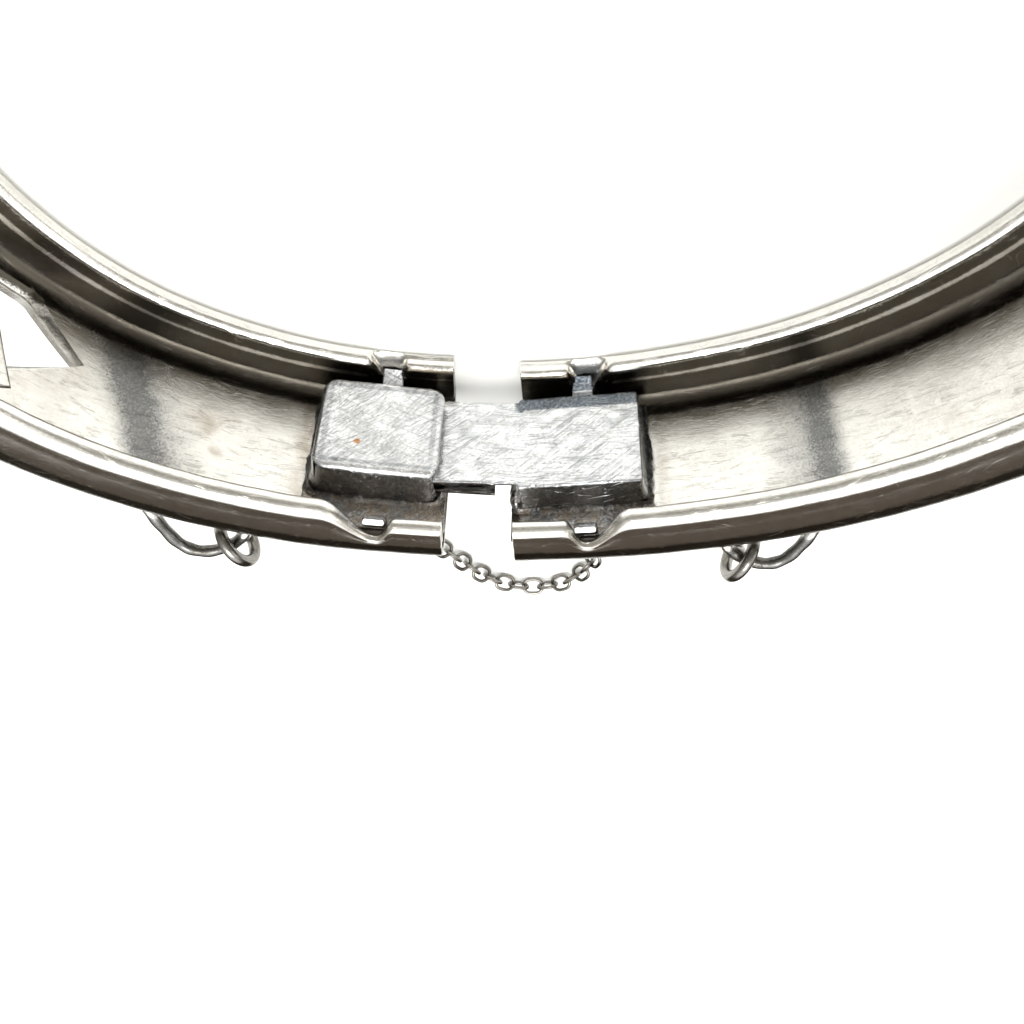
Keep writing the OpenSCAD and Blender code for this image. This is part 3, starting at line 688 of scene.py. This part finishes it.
def smoothPath(points, per=8):
    p = [np.array(v, float) for v in [points[0]] + list(points) + [points[-1]]]
    out = []
    for i in range(1, len(p) - 2):
        for j in range(per):
            t = j / per
            out.append(0.5 * (2 * p[i] + (p[i + 1] - p[i - 1]) * t
                              + (2 * p[i - 1] - 5 * p[i] + 4 * p[i + 1] - p[i + 2]) * t * t
                              + (3 * p[i] - p[i - 1] - 3 * p[i + 1] + p[i + 2]) * t ** 3))
    return out + [p[-1]]


def tubeAlong(name, path, radii, sides=14):
    path = np.array(path, float)
    tangent = np.gradient(path, axis=0)
    tangent /= np.linalg.norm(tangent, axis=1)[:, None]
    up = np.array([0.0, 0.0, 1.0])
    if abs(tangent[0][2]) > 0.9:
        up = np.array([0.0, 1.0, 0.0])
    rings = []
    for p, t, r in zip(path, tangent, radii):
        a = np.cross(up, t)
        a /= np.linalg.norm(a)
        up = np.cross(t, a)
        rings += [p + r * (math.cos(k) * a + math.sin(k) * up)
                  for k in np.linspace(0, 2 * math.pi, sides, False)]
    return solidPiece(name, rings, ringFaces(len(path), sides))


def chainLoop(side):
    shape = loopShapes[side]
    base = (bandFrame(side, shape["s"]) @ Matrix.Translation((0, loops["in"], loops["z"]))
            @ Matrix.Rotation(-loops["lean"], 4, "X"))
    path = [base @ Vector((p[0], p[1], 0)) for p in smoothPath(shape["path"])]
    n = len(path)
    radii = [loops["wire"] * mm * (1 + 0.05 * math.sin(k * 0.7)) for k in range(n)]
    made = [tubeAlong("loop", path, radii)]
    # Solder pooled round each foot, and the flat tag on the right half
    for x in (shape["path"][0][0], shape["path"][-1][0]):
        blob = []
        for k in range(9):
            t = k / 8
            blob.append(base @ Vector((x + 0.9 * (t - 0.5), 0.35 + 0.06 * math.sin(7 * t + x), -0.08)))
        sizes = [mm * (0.12 + 0.5 * math.sin(math.pi * min(max(k / 8, 0.02), 0.98)) ** 0.7) for k in range(9)]
        made.append(tubeAlong("solder", blob, sizes, 12))
    if side > 0:
        tag = roundOutline(2.6, 1.3, 0.3, 3)
        made.append(softSlab("solderTag", [(x + 1.0, y - 0.15) for x, y in tag], -0.28, 0.1, 0.12,
                             lambda x, y, h: base @ Vector((x, y, h)), inner=1))
    return made


def paintBand(piece, side):
    coords = worldToBand(side, readPoints(piece))
    s, h, z = coords.T
    onFloor = (1 - slope(np.abs(z), 4.9, 5.6)) * (h > -0.35) * (h < 0.6)
    inside = (h > -0.4) * (h < 1.27)
    hollow = slope(np.abs(z), 4.0, 5.3) * inside
    # The dark floor bands are painted reflections; the thin dark line near s 9.5 is the joint at the base
    # plate's end, and the stain spots are real
    if side < 0:
        band = (glow(s + 0.45 * z, 20.8, 1.5) * 0.50 + glow(s + 0.45 * z, 19.0, 3.1) * 0.42
                + glow(s, 25.5, 2.6) * 0.24 + glow(s, 9.6, 0.5) * 0.35)
        stain = (glow(s, 16.4, 1.4) * glow(z, -1.2, 1.5) * 0.55 + glow(s, 10.0, 0.6) * 0.6
                 + glow(s, 15.6, 0.35) * glow(z, 0.9, 0.3) * 0.9 + glow(s, 26, 3.0) * 0.2 + 0.08)
    else:
        band = glow(s, 18.4, 2.8) * 0.44 + glow(s, 20.2, 1.15) * 0.46 + glow(s, 9.4, 0.45) * 0.30
        stain = glow(s, 29.0, 5.5) * 0.16 + glow(s, 9.7, 0.4) * 0.35 + 0.04
    crest = slope(h, 3.9, 4.6)
    # Rim sides and lip faces get painted shade and a painted brown reflection; crests are left bright
    rimSide = slope(np.abs(z), 6.3, 6.8) * slope(h, 0.2, 1.2) * (1 - slope(h, 3.8, 4.4))
    lipFace = (np.abs(z) < 5.95) * (np.abs(z) > 5.3) * slope(h, 1.2, 1.5) * (1 - slope(h, 4.0, 4.4))
    outsideFace = 1 - slope(h, -0.5, -0.2)
    # farLine leaves a lighter line across the lip face's painted shade
    farLine = glow(h, 3.1, 0.12) * lipFace
    wire = slope(-h, 0.9, 1.2) * (z > 4.2) * (np.abs(s - loopShapes[side]["s"]) < 3.9)
    crimp = sum(glow(s, crimps[(side, rim)]["s"], 1.15) * (np.sign(z) == rim) for rim in (1, -1))
    crimp = crimp * slope(np.abs(z), 5.2, 5.5) * (1 - slope(np.abs(z), 6.45, 6.62))
    tarnish = onFloor * band + rimSide * 0.25 + lipFace * 0.3 + outsideFace * 0.15 + wire * 0.95
    stain = onFloor * stain + rimSide * 0.30 + lipFace * 0.5 + outsideFace * 0.1
    # Painted shade: under the lips, along the lip's free edge, in the crimp pockets, and on the rim sides,
    # darker towards their bottom
    deep = (hollow * 0.95 + lipFace * (0.78 - 0.55 * farLine) + 0.5 * glow(h, 1.3, 0.25) * (np.abs(z) > 5.2)
            + np.where(z > 0, 0.85, 0.38) * crimp + rimSide * (0.42 - 0.30 * slope(h, 1.6, 3.6)))
    satin = onFloor * 0.9 + hollow * 0.5 - crest * 0.2
    # Painted shade on the window walls and the pieces seen through the window
    wall = (side < 0) * (np.abs(s - window["s"]) < 8.6) * (np.abs(z + 2) < 3.7) * slope(-h, 0.1, 0.3)
    wall = wall * (h > -1.0) * (0.30 + 0.6 * slope(z, -2.6, -0.8))
    # The wire loops are darkened for their own dark tone
    paint(piece, coords, tarnish=tarnish * (1 - 0.7 * crest), stain=stain * (1 - 0.6 * crest), satin=satin,
          deep=deep * (1 - outsideFace) + 0.50 * wire + wall)


def finishBand(piece, side, extras, slotName, node):
    joinPieces(piece, extras)
    paintBand(piece, side)
    smoothOff(piece)
    finishPiece(piece, bandSilver, slotName, node)


leftBand = bandHalf("leftBand", -1, 2.7)
pinHole = hinge["pinR"] + hinge["clear"]
slotR = hinge["barrelR"] + hinge["clear"] + 0.05
low, mid, high, top = hinge["levels"]
carve(leftBand, [barrelRod("slot", mid - 0.12, high + 0.12, slotR),
                 barrelRod("sink", -1, low, hinge["headR"] + 0.12),
                 barrelRod("sink", top, 15, hinge["headR"] + 0.12), barrelRod("hole", -1, 15, pinHole),
                 windowCutter()])
finishBand(leftBand, -1, [windowFrame()] + windowMiddle() + [raisedLeaf(q) for q in leafSpots]
           + [hingeBarrel(low, mid), hingeBarrel(high, top)] + chainLoop(-1), "band_left", "left_half")

rightBand = bandHalf("rightBand", 1, 31.4)
carve(rightBand, [barrelRod("slot", -1, mid + 0.12, slotR), barrelRod("slot", high - 0.12, 15, slotR),
                  barrelRod("hole", -1, 15, pinHole)])
finishBand(rightBand, 1, [hingeBarrel(mid + 0.12, high - 0.12)] + chainLoop(1), "band_right", "right_half")

clasp = {"dentS": 4.5, "boxIn": 0.35, "boxZ": -1.0, "plateLow": 0.44, "plateTop": 0.79, "length": 8.2,
         "width": 7.4, "catchHigh": 3.7, "tongueHigh": 3.1, "wall": 0.2, "tabWidth": 1.45, "strip": 0.3,
         "tongueWidth": 6.74, "bend": math.radians(9), "stripLength": 9.95, "foldR": 0.62}


def boxSpace(frameMatrix):
    return lambda x, z, y: frameMatrix @ Vector((x, y, z))


def basePlate(frameMatrix):
    outline = splitEdges([(-4.7, -5.2), (4.7, -5.2), (4.7, 5.2), (-4.7, 5.2)], 1.0)
    made = [softSlab("basePlate", outline, clasp["plateLow"], clasp["plateTop"], 0.09, boxSpace(frameMatrix))]
    for side in (-1, 1):
        # Bent holding tab: a thin strip that rises and leans over the lip
        path = smoothPath([(0.55, 4.9), (1.2, 5.03), (1.9, 5.1), (2.5, 5.45), (3.0, 5.95), (3.25, 6.2)], 4)
        rings = []
        for k, (y, z) in enumerate(path):
            ahead = path[min(k + 1, len(path) - 1)] - path[max(k - 1, 0)]
            ahead = ahead / np.linalg.norm(ahead)
            across = np.array([-ahead[1], ahead[0]])
            w = clasp["tabWidth"] / 2 * (1 - 0.12 * slope(k / len(path), 0.6, 1.0))
            for dx, dn in ((-w, -0.08), (-w + 0.08, -0.17), (w - 0.08, -0.17), (w, -0.08), (w, 0.08),
                           (w - 0.08, 0.17), (-w + 0.08, 0.17), (-w, 0.08)):
                spot = np.array([y, z]) + across * dn
                rings.append(frameMatrix @ Vector((clasp["boxIn"] + dx, spot[0], side * spot[1])))
        tab = solidPiece("tab", rings, ringFaces(len(path), 8))
        made.append(tab)
    return made


def solderBead(name, frameMatrix, length, width, corner, zMiddle, seed):
    outline = np.array(splitEdges(roundOutline(length, width, corner, 4), 0.16))
    layers = []
    for inset, level in ((-0.05, 0.30), (0.02, 0.2), (0.08, 0.12), (0.18, 0.05), (0.3, -0.03)):
        ring = offsetOutline(outline, inset)
        for (x, z), (bx, bz) in zip(ring, outline):
            lump = (noise.noise(Vector((bx * 0.9, bz * 0.9, seed)))
                    + 0.5 * noise.noise(Vector((bx * 2.6, bz * 2.6, seed))))
            grow = 1 + 0.9 * lump
            spread = (np.array([x, z]) - np.array([bx, bz])) * max(grow, 0.25)
            layers.append(frameMatrix @ Vector((bx + spread[0], clasp["plateTop"] + level * max(grow, 0.3),
                                                zMiddle + bz + spread[1])))
    count = len(outline)
    faces = ringFaces(5, count, capped=False)
    return solidPiece(name, layers, faces)


def domedBox(name, frameMatrix, high, corner, edge, crown, mouthSide, seed):
    zMiddle = clasp["boxZ"]
    outline = np.array(splitEdges(roundOutline(clasp["length"], clasp["width"], corner, 5), 0.3))
    low = clasp["plateTop"] - 0.1
    rings = [(-0.46, low), (-0.36, low + 0.3), (-0.22, low + 0.75), (-0.10, low + 1.3), (-0.03, low + 1.9),
             (0.0, high - edge)]
    for t in (0.25, 0.5, 0.75, 1.0):
        a = t * math.pi / 2
        rings.append((edge * (1 - math.cos(a)), high - edge * (1 - math.sin(a))))
    points = []
    for inset, level in rings:
        for x, z in offsetOutline(outline, -inset):
            if inset < 0:
                mouth = slope(mouthSide * x, 3.2, 4.0)
                x, z = x - mouthSide * mouth * max(0.0, mouthSide * x - clasp["length"] / 2), z
            points.append((x, level, z))
    flat = offsetOutline(outline, -edge)
    for k in range(1, 15):
        f = 1 - k / 15
        for x, z in flat * np.array([f, f]):
            points.append((x, high - crown * (1 - f) ** 0.5, z))
    points = np.array(points)
    count = len(outline)
    wave = (ripple(points * np.array([0.45, 0.45, 0.45]), 1.0, seed) * 0.05
            + ripple(points, 1.3, seed + 3) * 0.012)
    onTop = points[:, 1] > high - edge * 0.5
    points[:, 1] += np.where(onTop, wave, 0)
    moved = [frameMatrix @ Vector((x, y, zMiddle + z)) for x, y, z in points]
    return solidPiece(name, moved, ringFaces(len(rings) + 14, count))


def boxCutter(frameMatrix, x0, x1, y0, y1, halfZ):
    space = boxSpace(frameMatrix)
    z0, z1 = clasp["boxZ"] - halfZ, clasp["boxZ"] + halfZ
    outline = splitEdges([(x0, z0), (x1, z0), (x1, z1), (x0, z1)], 20)
    points = [space(x, z, y) for y in (y0, y1) for x, z in outline]
    return newPiece("cavity", points, ringFaces(2, len(outline)))


def localCoords(piece, frameMatrix):
    back = np.array(frameMatrix.inverted())
    p = readPoints(piece)
    return p @ back[:3, :3].T + back[:3, 3]


catchFrame = bandFrame(-1, clasp["dentS"] + clasp["boxIn"])
catchBox = domedBox("catchBox", catchFrame, clasp["catchHigh"], 0.95, 0.5, 0.10, 1, 5.1)
mouthHalf = clasp["width"] / 2 - clasp["wall"]
carve(catchBox, [boxCutter(catchFrame, clasp["wall"] - 4.1, 6.0, clasp["plateTop"],
                           clasp["catchHigh"] - clasp["wall"] - 0.06, mouthHalf)])
joinPieces(catchBox, basePlate(catchFrame)
           + [solderBead("catchSolder", catchFrame, 8.9, 8.2, 0.95, -1.0, 3.3)])
x, y, z = localCoords(catchBox, catchFrame).T
fromEdge = np.minimum(4.1 - np.abs(x), 3.7 - np.abs(z + 1))
edgeDark = slope(-fromEdge, -0.25, 0.0)
# Painted shade: walls and base plate darker than the top, and a dark band along the walls; painted brown
# reflection on the near wall. Darker and browner towards the base plate, with a darker line where the bevel
# meets the top
paint(catchBox, np.stack([x, y, z], 1),
      tarnish=0.45 * (1 - slope(y, 0.8, 2.2)) + 0.22 * edgeDark * (1 - slope(y, 3.3, 3.6))
      + 0.62 * glow(fromEdge, 0.62, 0.2) * (y > 3.45),
      stain=0.55 * (1 - slope(y, 0.5, 1.5))
      + 0.4 * (1 - slope(y, 2.4, 3.4)) * (z > 2), satin=0.25 + 0 * x,
      deep=0.40 * slope(y, 0.95, 1.3) * (1 - slope(y, 2.2, 3.1)))
smoothOff(catchBox)
finishPiece(catchBox, boxSilver, "catch", "catch_box")


def tongueStrip(frameMatrix):
    mouthX = -clasp["length"] / 2
    c, k = math.cos(clasp["bend"]), math.sin(clasp["bend"])

    def onStrip(along, drop):
        return (mouthX - along * c - drop * k, clasp["tongueHigh"] + along * k - drop * c)

    half = clasp["strip"] / 2
    line = [(mouthX + 1.5, clasp["tongueHigh"] - half - 0.14),
            (mouthX + 0.5, clasp["tongueHigh"] - half - 0.02),
            onStrip(0.35, half), onStrip(2.0, half), onStrip(4.5, half), onStrip(7.0, half),
            onStrip(clasp["stripLength"] - 0.3, half)]
    fold = clasp["foldR"] - half
    for a in (80, 50, 20, -10, -40, -70, -90):
        t = math.radians(a)
        line.append(onStrip(clasp["stripLength"] + fold * math.cos(t), clasp["foldR"] - fold * math.sin(t)))
    for along, drop in ((7.0, 1.16), (4.5, 1.26), (2.6, 1.36), (1.35, 1.42)):
        line.append(onStrip(along, drop))
    path = smoothPath(line, 5)
    rings = []
    halfW = clasp["tongueWidth"] / 2
    spans = ([(-halfW, 0.55), (-halfW + 0.05, 0.85), (-halfW + 0.12, 1.0)]
             + [(v, 1.0) for v in np.linspace(-halfW + 0.6, halfW - 0.6, 9)]
             + [(halfW - 0.12, 1.0), (halfW - 0.05, 0.85), (halfW, 0.55)])
    for i, p in enumerate(path):
        ahead = path[min(i + 1, len(path) - 1)] - path[max(i - 1, 0)]
        ahead = ahead / (np.linalg.norm(ahead) + 1e-9)
        across = np.array([ahead[1], -ahead[0]])
        for sign, order in ((1, spans), (-1, spans[::-1])):
            for z, f in order:
                q = p + across * sign * half * f
                rings.append(frameMatrix @ Vector((q[0], q[1], clasp["boxZ"] + z)))
    return solidPiece("tongueStrip", rings, ringFaces(len(path), 2 * len(spans)))


tongueFrame = bandFrame(1, clasp["dentS"] - clasp["boxIn"])
tongueBox = domedBox("tongueBox", tongueFrame, clasp["tongueHigh"], 0.3, 0.2, 0.05, -1, 14.2)
blobPath = [tongueFrame @ Vector((-4.25, 1.1 + 0.9 * t, 2.55 + 0.25 * math.sin(5 * t)))
            for t in np.linspace(0, 1, 8)]
blobSizes = [mm * (0.16 + 0.3 * math.sin(math.pi * (0.1 + 0.8 * t))) for t in np.linspace(0, 1, 8)]
joinPieces(tongueBox, basePlate(tongueFrame)
           + [tongueStrip(tongueFrame), tubeAlong("blob", blobPath, blobSizes, 12),
              solderBead("tongueSolder", tongueFrame, 8.9, 8.2, 0.4, -1.0, 8.8)])
x, y, z = localCoords(tongueBox, tongueFrame).T
# Painted shade under and along the tongue strip and a dark band along the walls; painted brown reflection on
# the near wall. Darker and browner towards the base plate, with a dark strip along the far edge of the top and
# a darker patch on the strip
paint(tongueBox, np.stack([x, y, z], 1),
      tarnish=0.45 * (1 - slope(y, 0.8, 2.0))
      + 0.8 * (1 - slope(z, -3.95, -3.3)) * slope(x, -4.7, -3.9) * (y > 2.7)
      + 0.35 * glow(x, 4.3, 0.5) * (1 - slope(y, 1.0, 1.6)) + 0.2 * glow(x, -7.0, 0.8) * (y > 2.7),
      stain=0.5 * (1 - slope(y, 0.5, 1.6)) + 0.35 * (1 - slope(y, 1.8, 2.8)) * (z > 2.2), satin=0.3 + 0 * x,
      deep=0.85 * (x < -4.3) * slope(3.1 - y - 0.158 * (x + 4.1), 0.12, 0.3)
      + 0.40 * slope(y, 0.95, 1.3) * (1 - slope(y, 1.8, 2.7)))
smoothOff(tongueBox)
finishPiece(tongueBox, tongueSilver, "tongue", "tongue_box")

chainLook = {"wire": 0.185, "turns": 28, "sides": 9}


def chainLinks():
    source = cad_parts["chain"]
    mesh = source.data
    work = bmesh.new()
    work.from_mesh(mesh)
    bmesh.ops.remove_doubles(work, verts=work.verts, dist=1e-6)
    work.verts.ensure_lookup_table()
    work.verts.index_update()
    seen, islands = set(), []
    for start in work.verts:
        if start.index in seen:
            continue
        stack, island = [start], []
        seen.add(start.index)
        while stack:
            v = stack.pop()
            island.append(v.co.copy())
            for edge in v.link_edges:
                other = edge.other_vert(v)
                if other.index not in seen:
                    seen.add(other.index)
                    stack.append(other)
        islands.append(np.array([tuple(source.matrix_world @ c) for c in island]))
    work.free()
    points, faces = [], []
    for number, island in enumerate(islands):
        middle = island.mean(0)
        axes = np.linalg.svd(island - middle, full_matrices=False)[2]
        reach = np.abs((island - middle) @ axes.T).max(0)
        r = chainLook["wire"] * mm
        bend = reach[1] - r
        straight = reach[0] - reach[1]
        base = len(points)
        for k in range(chainLook["turns"]):
            a = 2 * math.pi * k / chainLook["turns"]
            shift = straight if math.cos(a) > 0 else -straight
            out = np.array([math.cos(a), math.sin(a)])
            centre = bend * out + np.array([shift * min(1, 4 * abs(math.cos(a))), 0])
            fat = r * (1 - 0.03 + 0.03 * math.sin(3 * a + number))
            for j in range(chainLook["sides"]):
                b = 2 * math.pi * j / chainLook["sides"]
                spot = centre + out * fat * math.cos(b)
                points.append(middle + axes[0] * spot[0] + axes[1] * spot[1] + axes[2] * fat * math.sin(b))
        for f in ringFaces(chainLook["turns"], chainLook["sides"], closedRings=True):
            faces.append(tuple(base + i for i in f))
    piece = solidPiece("chainLinks", points, faces)
    print("links placed:", len(islands))
    return piece


links = chainLinks()
p = readPoints(links) / mm
paint(links, p, tarnish=0.12 + 0 * p[:, 0], stain=0.08 + 0 * p[:, 0])
smoothOff(links, 60)
finishPiece(links, wireSilver, "chain", "chain")

for nodeName, material in (("left_ring", wireSilver), ("right_ring", wireSilver), ("hinge_pin", pinSilver)):
    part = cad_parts[nodeName]
    part.data.materials.clear()
    part.data.materials.append(material)
print("rings and pin dressed")

viewFrom = {"place": (3.1242, 21.7346, 38.8892), "tilt": 1.01298, "yaw": -0.11704, "roll": -0.03794,
            "focal": 821.588, "pixels": 1024}


def aimCamera():
    t, w, r = viewFrom["tilt"], viewFrom["yaw"], viewFrom["roll"]
    d = Vector((math.sin(w), -math.sin(t), -math.cos(t))).normalized()
    x = d.cross(Vector((0, math.cos(t), -math.sin(t)))).normalized()
    y = x.cross(d)
    x2 = math.cos(r) * x + math.sin(r) * y
    y2 = -math.sin(r) * x + math.cos(r) * y
    camera = bpy.data.objects.new("camera", bpy.data.cameras.new("camera"))
    bpy.context.scene.collection.objects.link(camera)
    turn = Matrix((x2, y2, -d)).transposed().to_4x4()
    camera.matrix_world = Matrix.Translation(Vector(viewFrom["place"]) * mm) @ turn
    camera.data.sensor_width = 36
    camera.data.lens = 36 * viewFrom["focal"] / viewFrom["pixels"]
    camera.data.clip_start = 0.001
    bpy.context.scene.camera = camera


def plainSheet(name, middle, sizeX, sizeY, turn=(0, 0, 0)):
    grid = 8
    points = [Vector(((i / grid - 0.5) * sizeX, (j / grid - 0.5) * sizeY, 0))
              for j in range(grid + 1) for i in range(grid + 1)]
    faces = [(j * (grid + 1) + i, j * (grid + 1) + i + 1, (j + 1) * (grid + 1) + i + 1,
              (j + 1) * (grid + 1) + i)
             for j in range(grid) for i in range(grid)]
    sheetPiece = newPiece(name, points, faces)
    sheetPiece.matrix_world = (Matrix.Translation(middle) @ Matrix.Rotation(turn[2], 4, "Z")
                               @ Matrix.Rotation(turn[0], 4, "X"))
    return sheetPiece


def matte(name, light, dark):
    material = bpy.data.materials.new(name)
    material.use_nodes = True
    tree = material.node_tree
    shader = tree.nodes["Principled BSDF"]
    place = makeNode(tree, "TexCoord").outputs["Object"]
    fac = grain(tree, place, 9.0, 3.0)
    tree.links.new(blendTone(tree, fac, dark, light), shader.inputs["Base Color"])
    shader.inputs["Roughness"].default_value = 0.9
    shader.inputs["Specular IOR Level"].default_value = 0.2
    return material


def softLight(name, middle, target, sizeX, sizeY, power, tone=(1, 1, 1)):
    lamp = bpy.data.lights.new(name, "AREA")
    lamp.shape = "RECTANGLE"
    lamp.size, lamp.size_y, lamp.energy, lamp.color = sizeX, sizeY, power, tone
    made = bpy.data.objects.new(name, lamp)
    bpy.context.scene.collection.objects.link(made)
    made.location = middle
    made.rotation_euler = (Vector(target) - Vector(middle)).to_track_quat("-Z", "Y").to_euler()
    return made


aimCamera()
floorSheet = plainSheet("floor", (0, 0, 0), 60.0, 60.0)
floorSheet.data.materials.append(matte("paleFloor", (0.97, 0.97, 0.95), (0.95, 0.95, 0.93)))
darkCard = plainSheet("darkCard", (0, -0.28, 0.19), 0.9, 0.30, (math.radians(90), 0, 0))
darkCard.data.materials.append(matte("darkCard", (0.06, 0.045, 0.032), (0.03, 0.024, 0.018)))
for ray in ("camera", "diffuse", "shadow"):
    setattr(darkCard, "visible_" + ray, False)

studio = {"low": (0.25, 0.235, 0.205, 1), "middle": (0.58, 0.57, 0.535, 1), "high": (1.85, 1.85, 1.83, 1),
          "seen": (1.32, 1.32, 1.29, 1)}


def paintStudio():
    # Bright overhead and darker towards the horizon, so the rolled rims carry a narrow highlight
    world = bpy.data.worlds.new("studio")
    bpy.context.scene.world = world
    world.use_nodes = True
    tree = world.node_tree
    tree.nodes.clear()
    way = makeNode(tree, "TexCoord").outputs["Generated"]
    up = makeNode(tree, "SeparateXYZ", {0: way}).outputs[2]
    levels = (("low", 0.08), ("middle", 0.62), ("high", 0.90))
    light = ramp(tree, up, [(level, studio[part][:3]) for part, level in levels])
    mirrored = makeNode(tree, "LightPath").outputs["Is Glossy Ray"]
    tone = makeNode(tree, "Mix", {0: mirrored, 6: studio["seen"], 7: light}, data_type="RGBA").outputs[2]
    back = makeNode(tree, "Background", {"Color": tone})
    out = makeNode(tree, "OutputWorld")
    tree.links.new(back.outputs[0], out.inputs[0])


paintStudio()
softLight("overheadBox", (0.03, 0.10, 0.50), (0, 0, 0), 0.28, 0.24, 1.3, (1.0, 0.99, 0.97))
softLight("sideBox", (0.45, 0.05, 0.25), (0, 0, 0.01), 0.25, 0.25, 0.25, (1.0, 0.985, 0.96))
bpy.context.scene.view_settings.view_transform = "Standard"
bpy.context.scene.view_settings.look = "None"
print("camera, floor and light set")
